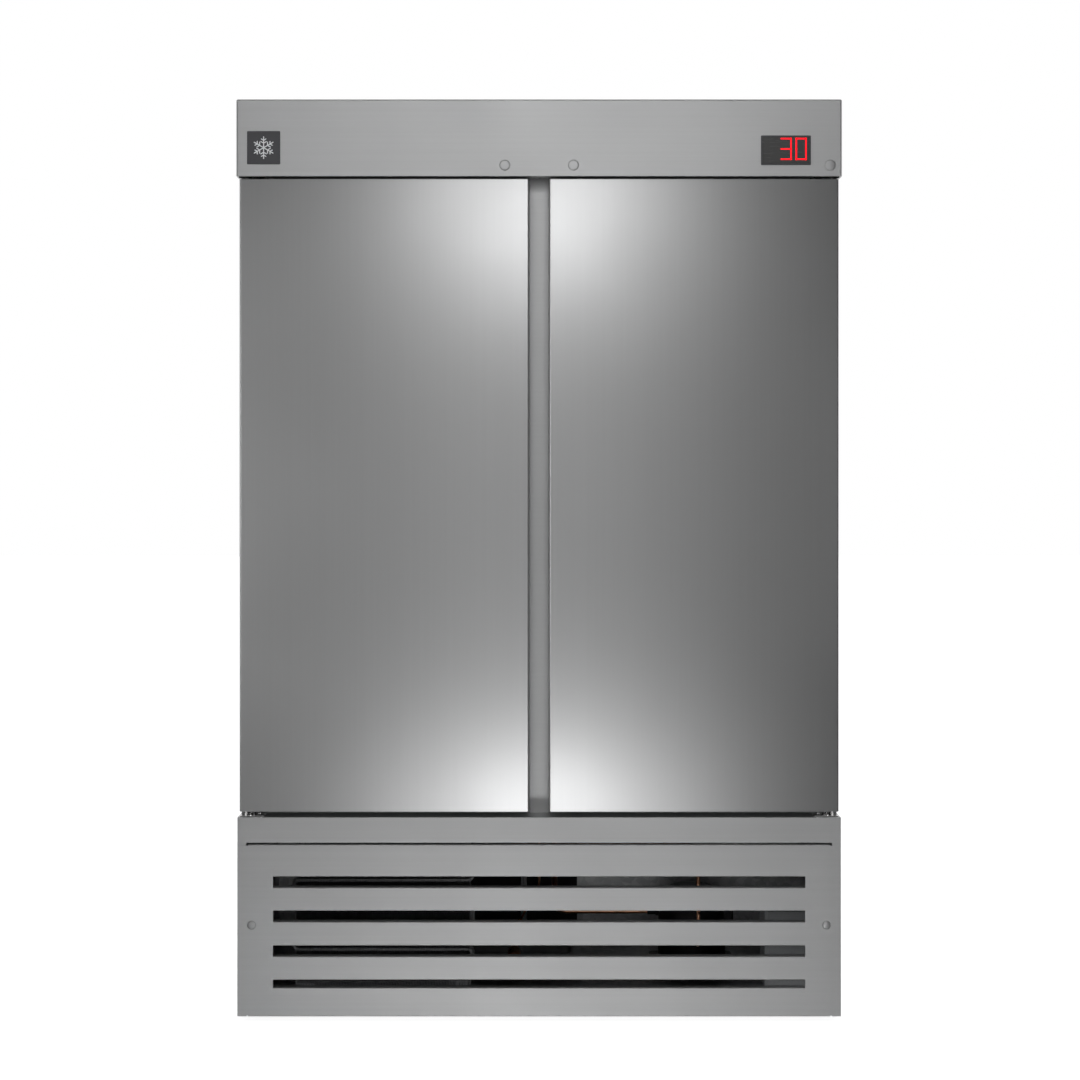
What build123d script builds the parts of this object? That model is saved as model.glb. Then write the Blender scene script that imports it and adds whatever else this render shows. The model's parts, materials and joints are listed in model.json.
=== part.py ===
from build123d import *
import os

# A two-door reach-in refrigerator with the refrigeration unit in its base.
# Millimetres. X runs across the front, +Y runs to the back, +Z is up.
# The origin is on the floor, in the middle of the cabinet's footprint.

os.makedirs("parts", exist_ok=True)

# ---------------------------------------------------------------- driving sizes

WIDTH = 1370.0                 # over the header
HEIGHT = 2086.0
DEPTH = 810.0                  # foremost screw head to rear skin
CABINET_WIDTH = 1365.0         # cabinet, sill and base
SHEET = 1.5                    # folded sheet of the cabinet
FLOOR_GAP = 12.0               # under the base panel

PANEL_FRONT = -402.0           # front of header, sill and grille panel
FACE = -327.0                  # front of the cabinet's door frame
BACK = DEPTH / 2

SILL_BOTTOM = 405.0
SILL_TOP = 462.0
HEADER_BOTTOM = 1912.0
GRILLE_TOP = 400.5

DOOR_OUTER = 679.0             # door edges, from the middle of the cabinet
DOOR_INNER = 22.0
DOOR_BOTTOM = 474.0
DOOR_TOP = 1906.0
DOOR_FRONT = -394.0
DOOR_BACK = -339.0
DOOR_SHEET = 1.2
DOOR_BEND = 4.5                # radius of the skin's upright bends

HINGE_X = 655.0
HINGE_Y = -377.0
PIN_RADIUS = 6.0
BUSH_BORE_RADIUS = 6.05        # a running fit on the pin
BUSH_RADIUS = 9.0
BUSH_LENGTH = 30.0

OPENING_X = 632.5              # inside of the side walls
OPENING_BOTTOM = 512.0
OPENING_TOP = 1868.0
INSIDE_BACK = 343.5
CEILING = 2010.0
MULLION_HALF = 52.0
MULLION_DEPTH = 40.0
SOFFIT_DEPTH = 50.0            # front wall above the doors

CHASE_X = 60.0                 # pipe duct in the rear insulation
CHASE_Y = (352.0, 396.0)
CHASE_TOP = 1990.0
CHASE_WINDOW = (1880.0, 1985.0)
DRAIN_X = -40.0
SUCTION_X = 40.0
CHASE_PIPE_Y = 374.0

SHELF_HEIGHTS = (830.0, 1150.0, 1470.0)
SHELF_X = (20.0, 618.0)
SHELF_Y = (-272.0, 326.0)
PILASTER = (8.0, 16.0)         # how far it stands out, and its width
PILASTER_Z = (540.0, 1840.0)
PILASTER_Y = (-230.0, 270.0)   # on each side wall
PILASTER_X = 32.0              # on the mullion and the rear wall

EVAPORATOR_HALF = 420.0
EVAPORATOR_Y = (-160.0, 320.0)
EVAPORATOR_BOTTOM = 1878.0
EVAPORATOR_FAN_X = 190.0
EVAPORATOR_FAN_Y = -20.0
EVAPORATOR_FAN_RADIUS = 76.0

BASE_FLOOR_TOP = 16.0
REAR_GRILLE_Y = 395.0
CONDENSER_X = (-560.0, -160.0)
CONDENSER_Y = (-300.0, -240.0)
CONDENSER_Z = (60.0, 380.0)
CONDENSER_FAN_RADIUS = 114.0
COMPRESSOR_X = 380.0
COMPRESSOR_Y = 120.0


# --------------------------------------------------------------------- helpers

def middle(span):
    """Returns the middle of a (low, high) span."""
    return (span[0] + span[1]) / 2


def length(span):
    """Returns the length of a (low, high) span."""
    return span[1] - span[0]


def across(side, near, far):
    """Returns an x span on one side of the cabinet: side is -1 (left) or 1 (right)."""
    return tuple(sorted((side * near, side * far)))


def add_slab(x, y, z, mode=Mode.ADD):
    """Adds (or cuts) a rectangular block between three spans in the current part."""
    with BuildSketch(Plane.XY.offset(z[0])) as profile:
        with Locations((middle(x), middle(y))):
            Rectangle(length(x), length(y))
    extrude(profile.sketch, amount=length(z), mode=mode)


def add_rod(start, end, radius, mode=Mode.ADD):
    """Adds (or cuts) a round rod from one point to another in the current part."""
    axis = Vector(*end) - Vector(*start)
    with BuildSketch(Plane(origin=start, z_dir=axis)) as profile:
        Circle(radius)
    extrude(profile.sketch, amount=axis.length, mode=mode)


def add_pipe(points, radius, bend, bore=0.0):
    """Adds a bent pipe through the points, with arcs of one radius at its corners."""
    with BuildLine() as route:
        FilletPolyline(*points, radius=bend)
    with BuildSketch(Plane(origin=route.line @ 0, z_dir=route.line % 0)) as profile:
        Circle(radius)
        if bore:
            Circle(bore, mode=Mode.SUBTRACT)
    sweep(profile.sketch, path=route.line)


def front_plane(y):
    """Returns an upright plane at depth y whose normal faces the front."""
    return Plane.XZ.offset(-y)


def save(part, label):
    """Names a finished sub-part and writes it as its own file."""
    part.label = label
    export_step(part, f"parts/{label}.step")


# ---------------------------------------------------------------- cabinet shell

HALF = CABINET_WIDTH / 2
SKIN_INSIDE = HALF - SHEET
SHELL_TOP = HEIGHT - SHEET
FACE_BACK = FACE + SHEET

with BuildPart() as side_skins:
    for side in (-1, 1):
        add_slab(across(side, SKIN_INSIDE, HALF), (FACE, BACK - SHEET), (FLOOR_GAP, SHELL_TOP))
save(side_skins.part, "side_skins")

with BuildPart() as rear_skin:
    add_slab((-HALF, HALF), (BACK - SHEET, BACK), (SILL_TOP, SHELL_TOP))
save(rear_skin.part, "rear_skin")

with BuildPart() as top_skin:
    add_slab((-HALF, HALF), (FACE, BACK), (SHELL_TOP, HEIGHT))
save(top_skin.part, "top_skin")

with BuildPart() as bottom_pan:
    add_slab((-SKIN_INSIDE, SKIN_INSIDE), (FACE_BACK, BACK - SHEET), (SILL_TOP, SILL_TOP + SHEET))
    add_slab((-CHASE_X, CHASE_X), CHASE_Y, (SILL_TOP, SILL_TOP + SHEET), Mode.SUBTRACT)
save(bottom_pan.part, "bottom_pan")

with BuildPart() as frame_stiles:
    for side in (-1, 1):
        add_slab(across(side, OPENING_X, SKIN_INSIDE), (FACE, FACE_BACK), (OPENING_BOTTOM, OPENING_TOP))
save(frame_stiles.part, "frame_stiles")

with BuildPart() as frame_rails:
    add_slab((-SKIN_INSIDE, SKIN_INSIDE), (FACE, FACE_BACK), (SILL_TOP, OPENING_BOTTOM))
    add_slab((-SKIN_INSIDE, SKIN_INSIDE), (FACE, FACE_BACK), (OPENING_TOP, SHELL_TOP))
save(frame_rails.part, "frame_rails")

MULLION_Y = (FACE, FACE + MULLION_DEPTH)
MULLION_CORE_X = (-MULLION_HALF + SHEET, MULLION_HALF - SHEET)
MULLION_CORE_Y = (MULLION_Y[0] + SHEET, MULLION_Y[1] - SHEET)

with BuildPart() as mullion_post:
    add_slab((-MULLION_HALF, MULLION_HALF), MULLION_Y, (OPENING_BOTTOM, OPENING_TOP))
    add_slab(MULLION_CORE_X, MULLION_CORE_Y, (OPENING_BOTTOM, OPENING_TOP), Mode.SUBTRACT)
save(mullion_post.part, "mullion_post")

# ----------------------------------------------------------------- inner liner

LINER_X = OPENING_X + SHEET
LINER_BACK = INSIDE_BACK + SHEET
SOFFIT_Y = FACE_BACK + SOFFIT_DEPTH

with BuildPart() as liner_sides:
    for side in (-1, 1):
        add_slab(
            across(side, OPENING_X, LINER_X),
            (FACE_BACK, LINER_BACK),
            (OPENING_BOTTOM - SHEET, CEILING + SHEET),
        )
    above_opening = (OPENING_TOP + SHEET, CEILING + SHEET)
    add_slab((-LINER_X, LINER_X), (FACE_BACK, SOFFIT_Y), above_opening, Mode.SUBTRACT)
save(liner_sides.part, "liner_sides")

with BuildPart() as liner_floor:
    add_slab((-OPENING_X, OPENING_X), (FACE_BACK, INSIDE_BACK), (OPENING_BOTTOM - SHEET, OPENING_BOTTOM))
save(liner_floor.part, "liner_floor")

with BuildPart() as liner_rear:
    add_slab((-OPENING_X, OPENING_X), (INSIDE_BACK, LINER_BACK), (OPENING_BOTTOM - SHEET, CEILING + SHEET))
    add_slab((-CHASE_X, CHASE_X), (INSIDE_BACK, LINER_BACK), CHASE_WINDOW, Mode.SUBTRACT)
save(liner_rear.part, "liner_rear")

with BuildPart() as liner_ceiling:
    with BuildSketch(Plane.YZ.offset(-OPENING_X)):
        with BuildLine():
            Polyline(
                (FACE_BACK, OPENING_TOP),
                (SOFFIT_Y + SHEET, OPENING_TOP),
                (SOFFIT_Y + SHEET, CEILING),
                (INSIDE_BACK, CEILING),
                (INSIDE_BACK, CEILING + SHEET),
                (SOFFIT_Y, CEILING + SHEET),
                (SOFFIT_Y, OPENING_TOP + SHEET),
                (FACE_BACK, OPENING_TOP + SHEET),
                close=True,
            )
        make_face()
    extrude(amount=2 * OPENING_X)
save(liner_ceiling.part, "liner_ceiling")

with BuildPart() as insulation:
    add_slab((-SKIN_INSIDE, SKIN_INSIDE), (FACE_BACK, BACK - SHEET), (SILL_TOP + SHEET, SHELL_TOP))
    add_slab(
        (-LINER_X, LINER_X),
        (FACE_BACK, LINER_BACK),
        (OPENING_BOTTOM - SHEET, OPENING_TOP + SHEET),
        Mode.SUBTRACT,
    )
    add_slab((-LINER_X, LINER_X), (SOFFIT_Y, LINER_BACK), (OPENING_TOP, CEILING + SHEET), Mode.SUBTRACT)
    add_slab((-CHASE_X, CHASE_X), CHASE_Y, (SILL_TOP, CHASE_TOP), Mode.SUBTRACT)
    add_slab((-CHASE_X, CHASE_X), (LINER_BACK, CHASE_Y[0]), CHASE_WINDOW, Mode.SUBTRACT)
    add_slab(MULLION_CORE_X, MULLION_CORE_Y, (OPENING_BOTTOM, OPENING_TOP))
save(insulation.part, "insulation")

# ---------------------------------------------------------------------- header

HEADER_HALF = WIDTH / 2
HEADER_BEND = 5.0
HEADER_RETURN = 38.0           # lower return, above the doors
HEADER_WRAP_Y = -300.0         # how far the ends wrap back over the side skins
DISPLAY_X = 557.8
DISPLAY_Z = 1970.0
DISPLAY_SIZE = (113.0, 67.0)
DISPLAY_BODY = (105.0, 59.0)
BADGE_X = -622.5
BADGE_Z = 1975.8
BADGE_SIZE = 75.0
CAP_PLACES = ((-77.5, 1936.6), (77.5, 1936.6), (658.0, 1936.6))
CAP_RADIUS = 12.5
CAP_SHANK = 9.0
CLEARANCE = 0.3

with BuildPart() as header_panel:
    with BuildSketch(Plane.XY.offset(HEADER_BOTTOM)) as header_outline:
        with Locations((0, (PANEL_FRONT + HEADER_WRAP_Y) / 2)):
            Rectangle(WIDTH, HEADER_WRAP_Y - PANEL_FRONT)
        fillet(header_outline.vertices().group_by(Axis.Y)[0], HEADER_BEND)
    extrude(amount=HEIGHT - HEADER_BOTTOM)
    fillet(header_panel.edges().filter_by(Axis.X).group_by(Axis.Y)[0].sort_by(Axis.Z)[-1], HEADER_BEND - 0.5)
    add_slab(
        (-HEADER_HALF + SHEET, HEADER_HALF - SHEET),
        (PANEL_FRONT + SHEET, HEADER_WRAP_Y),
        (HEADER_BOTTOM + SHEET, HEIGHT - SHEET),
        Mode.SUBTRACT,
    )
    add_slab(
        (-HEADER_HALF + SHEET, HEADER_HALF - SHEET),
        (PANEL_FRONT + HEADER_RETURN, HEADER_WRAP_Y),
        (HEADER_BOTTOM, HEADER_BOTTOM + SHEET),
        Mode.SUBTRACT,
    )
    add_slab(
        (-HEADER_HALF + SHEET, HEADER_HALF - SHEET),
        (FACE, HEADER_WRAP_Y),
        (HEIGHT - SHEET, HEIGHT),
        Mode.SUBTRACT,
    )
    with BuildSketch(front_plane(PANEL_FRONT + SHEET)):
        with Locations((DISPLAY_X, DISPLAY_Z)):
            Rectangle(DISPLAY_BODY[0] + 1, DISPLAY_BODY[1] + 1)
        with Locations(*CAP_PLACES):
            Circle(CAP_SHANK + CLEARANCE)
    extrude(amount=SHEET, mode=Mode.SUBTRACT)
save(header_panel.part, "header_panel")

with BuildPart() as header_caps:
    with BuildSketch(front_plane(PANEL_FRONT)):
        with Locations(*CAP_PLACES):
            Circle(CAP_RADIUS)
    extrude(amount=2.0)
    chamfer(header_caps.edges().group_by(Axis.Y)[0], 1.2)
    with BuildSketch(front_plane(PANEL_FRONT)):
        with Locations(*CAP_PLACES):
            Circle(CAP_SHANK)
    extrude(amount=-8.0)
save(header_caps.part, "header_caps")

BEZEL_PROUD = 1.5
BEZEL_RIM = 3.0

with BuildPart() as display_controller:
    with BuildSketch(front_plane(PANEL_FRONT)):
        with Locations((DISPLAY_X, DISPLAY_Z)):
            RectangleRounded(*DISPLAY_SIZE, 2)
    extrude(amount=BEZEL_PROUD)
    with BuildSketch(front_plane(PANEL_FRONT)):
        with Locations((DISPLAY_X, DISPLAY_Z)):
            Rectangle(*DISPLAY_BODY)
    extrude(amount=-42.0)
    with BuildSketch(front_plane(PANEL_FRONT - BEZEL_PROUD)):
        with Locations((DISPLAY_X, DISPLAY_Z)):
            Rectangle(DISPLAY_SIZE[0] - 2 * BEZEL_RIM, DISPLAY_SIZE[1] - 2 * BEZEL_RIM)
    extrude(amount=-1.2, mode=Mode.SUBTRACT)
save(display_controller.part, "display_controller")

with BuildPart() as display_window:
    with BuildSketch(front_plane(PANEL_FRONT - BEZEL_PROUD + 1.2)):
        with Locations((DISPLAY_X, DISPLAY_Z)):
            Rectangle(DISPLAY_SIZE[0] - 2 * BEZEL_RIM - 0.2, DISPLAY_SIZE[1] - 2 * BEZEL_RIM - 0.2)
    extrude(amount=1.0)
save(display_window.part, "display_window")

with BuildPart() as badge_plate:
    with BuildSketch(front_plane(PANEL_FRONT)):
        with Locations((BADGE_X, BADGE_Z)):
            RectangleRounded(BADGE_SIZE, BADGE_SIZE, 2)
    extrude(amount=1.6)
    chamfer(badge_plate.edges().group_by(Axis.Y)[0], 0.5)
save(badge_plate.part, "badge_plate")

# ------------------------------------------------------- sill, base and grille

CORNER_FLANGE_X = 662.0        # inner edge of each corner post's front flange
CORNER_FRONT = PANEL_FRONT + SHEET + 0.1
GRILLE_X = (-676.0, 668.0)
SLOT_HALF = 601.5
SLOTS = ((76.9, 94.9), (147.6, 172.2), (225.8, 250.9), (303.3, 328.2))
LOUVRE_DEPTH = 28.0            # lower lip of each slot, folded inwards
SLOT_HEM = 8.0                 # upper lip
EDGE_FLANGE = 16.0
SCREW_X = 650.0
SCREW_Z = 219.0
SCREW_HEAD = 10.0
SCREW_SHANK = 3.0
SCREW_PROUD = 3.0              # the foremost part of the cabinet
SCREW_TAB = (18.0, 20.0)       # the tab behind a screw: inwards, and half its height
HINGE_SCREWS = ((-0.5, 22.0), (19.0, 22.0))   # from the hinge axis: inwards, backwards
HINGE_SCREW_RADIUS = 3.0

with BuildPart() as sill_rail:
    with BuildSketch(Plane.XY.offset(SILL_BOTTOM)) as sill_outline:
        with Locations((0, (PANEL_FRONT + FACE) / 2)):
            Rectangle(CABINET_WIDTH, FACE - PANEL_FRONT)
        fillet(sill_outline.vertices().group_by(Axis.Y)[0], 2.5)
    extrude(amount=SILL_TOP - SILL_BOTTOM)
    add_slab(
        (-SKIN_INSIDE, SKIN_INSIDE),
        (PANEL_FRONT + SHEET, FACE),
        (SILL_BOTTOM + SHEET, SILL_TOP - SHEET),
        Mode.SUBTRACT,
    )
    add_slab(
        (-SKIN_INSIDE, SKIN_INSIDE),
        (PANEL_FRONT + 20, FACE),
        (SILL_BOTTOM, SILL_BOTTOM + SHEET),
        Mode.SUBTRACT,
    )
    for side in (-1, 1):
        for inwards, backwards in HINGE_SCREWS:
            place = (side * (HINGE_X - inwards), HINGE_Y + backwards)
            screw_hole = HINGE_SCREW_RADIUS + CLEARANCE
            add_rod((*place, SILL_TOP - SHEET), (*place, SILL_TOP), screw_hole, Mode.SUBTRACT)
save(sill_rail.part, "sill_rail")

with BuildPart() as base_corners:
    for side in (-1, 1):
        add_slab(
            across(side, CORNER_FLANGE_X, HALF),
            (CORNER_FRONT, CORNER_FRONT + SHEET),
            (FLOOR_GAP, SILL_BOTTOM),
        )
        add_slab(across(side, SKIN_INSIDE, HALF), (CORNER_FRONT, FACE), (FLOOR_GAP, SILL_BOTTOM))
        add_slab(
            across(side, SCREW_X - SCREW_TAB[0], CORNER_FLANGE_X),
            (CORNER_FRONT, CORNER_FRONT + SHEET),
            (SCREW_Z - SCREW_TAB[1], SCREW_Z + SCREW_TAB[1]),
        )
        hole = (side * SCREW_X, CORNER_FRONT, SCREW_Z)
        add_rod(hole, (hole[0], CORNER_FRONT + SHEET, SCREW_Z), SCREW_SHANK + CLEARANCE, Mode.SUBTRACT)
save(base_corners.part, "base_corners")

with BuildPart() as grille_panel:
    with BuildSketch(front_plane(PANEL_FRONT + SHEET)):
        with Locations((middle(GRILLE_X), (FLOOR_GAP + GRILLE_TOP) / 2)):
            Rectangle(length(GRILLE_X), GRILLE_TOP - FLOOR_GAP)
        for slot in SLOTS:
            with Locations((0, middle(slot))):
                RectangleRounded(2 * SLOT_HALF, length(slot), 3, mode=Mode.SUBTRACT)
        with Locations((-SCREW_X, SCREW_Z), (SCREW_X, SCREW_Z)):
            Circle(SCREW_SHANK + CLEARANCE, mode=Mode.SUBTRACT)
    extrude(amount=SHEET)
    lip_x = (-SLOT_HALF, SLOT_HALF)
    for slot in SLOTS:
        lip_y = (PANEL_FRONT + SHEET, PANEL_FRONT + LOUVRE_DEPTH)
        add_slab(lip_x, lip_y, (slot[0] - SHEET, slot[0]))
        add_slab(lip_x, (lip_y[0], PANEL_FRONT + SLOT_HEM), (slot[1], slot[1] + SHEET))
    edge_y = (PANEL_FRONT + SHEET, PANEL_FRONT + EDGE_FLANGE)
    edge_x = (-CORNER_FLANGE_X + 2, CORNER_FLANGE_X - 2)
    add_slab(edge_x, edge_y, (FLOOR_GAP, FLOOR_GAP + SHEET))
    add_slab(edge_x, edge_y, (GRILLE_TOP - SHEET, GRILLE_TOP))
save(grille_panel.part, "grille_panel")

with BuildPart() as grille_screws:
    with BuildSketch(front_plane(PANEL_FRONT)):
        with Locations((-SCREW_X, SCREW_Z), (SCREW_X, SCREW_Z)):
            Circle(SCREW_HEAD)
    extrude(amount=SCREW_PROUD)
    chamfer(grille_screws.edges().group_by(Axis.Y)[0], 2.0)
    with BuildSketch(front_plane(PANEL_FRONT)):
        with Locations((-SCREW_X, SCREW_Z), (SCREW_X, SCREW_Z)):
            Circle(SCREW_SHANK)
    extrude(amount=-12.0)
save(grille_screws.part, "grille_screws")

FOOT_PLACES = [(x, y) for x in (-600, 600) for y in (-270, 340)]
FOOT_STUD = 6.0                # radius of the screw
FOOT_RADIUS = 22.0
FOOT_PAD = 7.0
FOOT_NUT = 12.0
STUD_LENGTH = 26.0
FLOOR_SHEET = 2.0
FLOOR_UNDERSIDE = BASE_FLOOR_TOP - FLOOR_SHEET

with BuildPart() as base_floor:
    add_slab((-SKIN_INSIDE, SKIN_INSIDE), (FACE, REAR_GRILLE_Y - SHEET), (FLOOR_UNDERSIDE, BASE_FLOOR_TOP))
    with BuildSketch(Plane.XY.offset(FLOOR_UNDERSIDE)):
        with Locations(*FOOT_PLACES):
            Circle(FOOT_STUD + CLEARANCE)
    extrude(amount=FLOOR_SHEET, mode=Mode.SUBTRACT)
save(base_floor.part, "base_floor")

with BuildPart() as levelling_feet:
    with BuildSketch(Plane.XY):
        with Locations(*FOOT_PLACES):
            Circle(FOOT_RADIUS)
    extrude(amount=FOOT_PAD)
    with BuildSketch(Plane.XY.offset(FOOT_PAD)):
        with Locations(*FOOT_PLACES):
            RegularPolygon(FOOT_NUT, 6)
    extrude(amount=FLOOR_UNDERSIDE - FOOT_PAD)
    with BuildSketch(Plane.XY.offset(FLOOR_UNDERSIDE)):
        with Locations(*FOOT_PLACES):
            Circle(FOOT_STUD)
    extrude(amount=STUD_LENGTH)
save(levelling_feet.part, "levelling_feet")

VENT_PLACE = (-250.0, 240.0)
VENT_PITCH = (26.0, 110.0)
VENT_COUNT = (24, 3)
VENT_SLOT = (90.0, 9.0)
GLAND_X = 600.0
GLAND_Z = 120.0
GLAND_RADIUS = 10.0
GLAND_FLANGE = 15.0
GLAND_BORE = 5.0
GLAND_Y = (REAR_GRILLE_Y - 12, REAR_GRILLE_Y + 8)

with BuildPart() as rear_grille:
    with BuildSketch(front_plane(REAR_GRILLE_Y)):
        with Locations((0, (BASE_FLOOR_TOP + SILL_TOP) / 2 - 1)):
            Rectangle(2 * SKIN_INSIDE, SILL_TOP - BASE_FLOOR_TOP + 2)
        with Locations(VENT_PLACE):
            with GridLocations(*VENT_PITCH, *VENT_COUNT):
                SlotOverall(*VENT_SLOT, rotation=90, mode=Mode.SUBTRACT)
        with Locations((GLAND_X, GLAND_Z)):
            Circle(GLAND_RADIUS + CLEARANCE, mode=Mode.SUBTRACT)
    extrude(amount=SHEET)
save(rear_grille.part, "rear_grille")

with BuildPart() as cord_gland:
    gland_start = (GLAND_X, GLAND_Y[0], GLAND_Z)
    gland_end = (GLAND_X, GLAND_Y[1], GLAND_Z)
    add_rod(gland_start, gland_end, GLAND_RADIUS)
    add_rod((GLAND_X, REAR_GRILLE_Y, GLAND_Z), (GLAND_X, REAR_GRILLE_Y + 4, GLAND_Z), GLAND_FLANGE)
    add_rod(gland_start, gland_end, GLAND_BORE, Mode.SUBTRACT)
save(cord_gland.part, "cord_gland")

# ------------------------------------------------------------ condensing unit

MOUNT_TOP = 31.0
MOUNT_RADIUS = 14.0
MOUNT_MARGIN = 18.0            # foot plate beyond the mounts' centres
MOUNT_X = 85.0
MOUNT_Y = 60.0
SHELL_RADIUS = 84.0
SHELL_HEIGHT = 186.0
SHELL_DOME = 48.0
SEAM_Z = MOUNT_TOP + 70.0
SUCTION_Z = 150.0
DISCHARGE_Z = 110.0
STUB_REACH = 110.0             # pipe stubs, from the compressor's axis
MOUNT_PLACES = [
    (COMPRESSOR_X + x, COMPRESSOR_Y + y) for x in (-MOUNT_X, MOUNT_X) for y in (-MOUNT_Y, MOUNT_Y)
]

with BuildPart() as compressor_mounts:
    with BuildSketch(Plane.XY.offset(BASE_FLOOR_TOP)):
        with Locations(*MOUNT_PLACES):
            Circle(MOUNT_RADIUS)
    extrude(amount=MOUNT_TOP - BASE_FLOOR_TOP)
save(compressor_mounts.part, "compressor_mounts")

with BuildPart() as compressor:
    with BuildSketch(Plane.XY.offset(MOUNT_TOP)):
        with Locations((COMPRESSOR_X, COMPRESSOR_Y)):
            RectangleRounded(2 * (MOUNT_X + MOUNT_MARGIN), 2 * (MOUNT_Y + MOUNT_MARGIN), 16)
    extrude(amount=3)
    with Locations((COMPRESSOR_X, COMPRESSOR_Y, MOUNT_TOP + SHELL_HEIGHT / 2)):
        Cylinder(SHELL_RADIUS, SHELL_HEIGHT)
    fillet(compressor.edges().filter_by(GeomType.CIRCLE).sort_by(Axis.Z)[-1], SHELL_DOME)
    with Locations((COMPRESSOR_X, COMPRESSOR_Y, SEAM_Z)):
        Cylinder(SHELL_RADIUS + 2, 10)
    for height, reach, radius in ((SUCTION_Z, (-STUB_REACH, 0), 9), (DISCHARGE_Z, (0, -STUB_REACH), 7)):
        stub_end = (COMPRESSOR_X + reach[0], COMPRESSOR_Y + reach[1], height)
        add_rod((COMPRESSOR_X, COMPRESSOR_Y, height), stub_end, radius)
save(compressor.part, "compressor")


def add_finned_coil(x, y, z, fins, rows, tube_radius):
    """Adds a coil of upright fins along x, with its tubes, end plates and return bends' headers."""
    plate = 1.0
    pitch = (length(x) - plate) / (fins - 1)
    for index in range(fins):
        left = x[0] + index * pitch
        add_slab((left, left + plate), y, z)
    step = length(z) / rows
    for row in range(rows):
        level = z[0] + (row + 0.5) * step
        add_rod((x[0] - 8, middle(y), level), (x[1] + 8, middle(y), level), tube_radius)
    for row in range(0, rows - 1):
        level = z[0] + (row + 0.5) * step
        end = x[1] + 8 if row % 2 else x[0] - 8
        add_slab(
            (end - tube_radius, end + tube_radius),
            (middle(y) - tube_radius, middle(y) + tube_radius),
            (level, level + step),
        )


with BuildPart() as condenser_coil:
    add_finned_coil(CONDENSER_X, CONDENSER_Y, CONDENSER_Z, fins=34, rows=6, tube_radius=5)
save(condenser_coil.part, "condenser_coil")

SHROUD_Y = (CONDENSER_Y[1], CONDENSER_Y[1] + 48)
CONDENSER_FAN_X = middle(CONDENSER_X)
CONDENSER_FAN_Z = middle(CONDENSER_Z)
CONDENSER_FAN_Y = (SHROUD_Y[1] - 22, SHROUD_Y[1] + 8)
MOTOR_Y = (SHROUD_Y[1] + 22, SHROUD_Y[1] + 90)
STRAP_HALF = 12.0
STRAP_SHEET = 3.0
STRAP_Y = (SHROUD_Y[1] + 40, SHROUD_Y[1] + 40 + STRAP_SHEET)
MOTOR_RADIUS = 40.0
SHROUD_FOOT = (20.0, 15.0)     # a foot's distance from the shroud's end, and half its width
SHAFT_RADIUS = 3.0
SHAFT_CLEARANCE = 0.05

with BuildPart() as condenser_shroud:
    add_slab(CONDENSER_X, SHROUD_Y, CONDENSER_Z)
    add_slab(
        (CONDENSER_X[0] + SHEET, CONDENSER_X[1] - SHEET),
        (SHROUD_Y[0], SHROUD_Y[1] - SHEET),
        (CONDENSER_Z[0] + SHEET, CONDENSER_Z[1] - SHEET),
        Mode.SUBTRACT,
    )
    add_rod(
        (CONDENSER_FAN_X, SHROUD_Y[1] - SHEET, CONDENSER_FAN_Z),
        (CONDENSER_FAN_X, SHROUD_Y[1], CONDENSER_FAN_Z),
        CONDENSER_FAN_RADIUS + 8,
        Mode.SUBTRACT,
    )
    for x in (CONDENSER_X[0] + SHROUD_FOOT[0], CONDENSER_X[1] - SHROUD_FOOT[0]):
        foot_x = (x - SHROUD_FOOT[1], x + SHROUD_FOOT[1])
        add_slab(foot_x, (SHROUD_Y[0] + 10, SHROUD_Y[1]), (BASE_FLOOR_TOP, CONDENSER_Z[0]))
save(condenser_shroud.part, "condenser_shroud")

with BuildPart() as condenser_fan_motor:
    motor_axis = (CONDENSER_FAN_X, CONDENSER_FAN_Z)
    with BuildSketch(front_plane(MOTOR_Y[1])):
        with Locations(motor_axis):
            Circle(MOTOR_RADIUS)
    extrude(amount=length(MOTOR_Y))
    fillet(condenser_fan_motor.edges().group_by(Axis.Y)[-1], 8)
    strap_x = (CONDENSER_FAN_X - STRAP_HALF, CONDENSER_FAN_X + STRAP_HALF)
    add_slab(strap_x, STRAP_Y, CONDENSER_Z)
    for level in (CONDENSER_Z[0], CONDENSER_Z[1] - STRAP_SHEET):
        add_slab(strap_x, (SHROUD_Y[1], STRAP_Y[1]), (level, level + STRAP_SHEET))
    with BuildSketch(front_plane(MOTOR_Y[0] + 30)):
        with Locations(motor_axis):
            Circle(SHAFT_RADIUS + SHAFT_CLEARANCE)
    extrude(amount=30, mode=Mode.SUBTRACT)
save(condenser_fan_motor.part, "condenser_fan_motor")


def add_fan(axis_plane, radius, hub, thickness, shaft, blades, pitch):
    """Adds a fan whose axis is the plane's normal: hub, shaft towards its motor, and blades."""
    with BuildSketch(axis_plane) as hub_disc:
        Circle(hub)
    extrude(hub_disc.sketch, amount=thickness)
    with BuildSketch(axis_plane) as shaft_disc:
        Circle(SHAFT_RADIUS)
    extrude(shaft_disc.sketch, amount=-shaft)
    reach = radius - hub + 4
    with Locations(axis_plane.offset(thickness / 2)):
        with PolarLocations(hub - 4 + reach / 2, blades):
            Box(reach, radius * 0.55, 1.6, rotation=(pitch, 0, 0))


with BuildPart() as condenser_fan:
    add_fan(
        Plane(
            origin=(CONDENSER_FAN_X, CONDENSER_FAN_Y[1], CONDENSER_FAN_Z),
            x_dir=(1, 0, 0),
            z_dir=(0, -1, 0),
        ),
        radius=CONDENSER_FAN_RADIUS - 6,
        hub=26,
        thickness=length(CONDENSER_FAN_Y),
        shaft=MOTOR_Y[0] - CONDENSER_FAN_Y[1] + 25,
        blades=5,
        pitch=24,
    )
save(condenser_fan.part, "condenser_fan")

BOX_WIDTH = 160.0
BOX_Y = (-290.0, -170.0)
BOX_Z = (52.0, 236.0)

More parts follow.
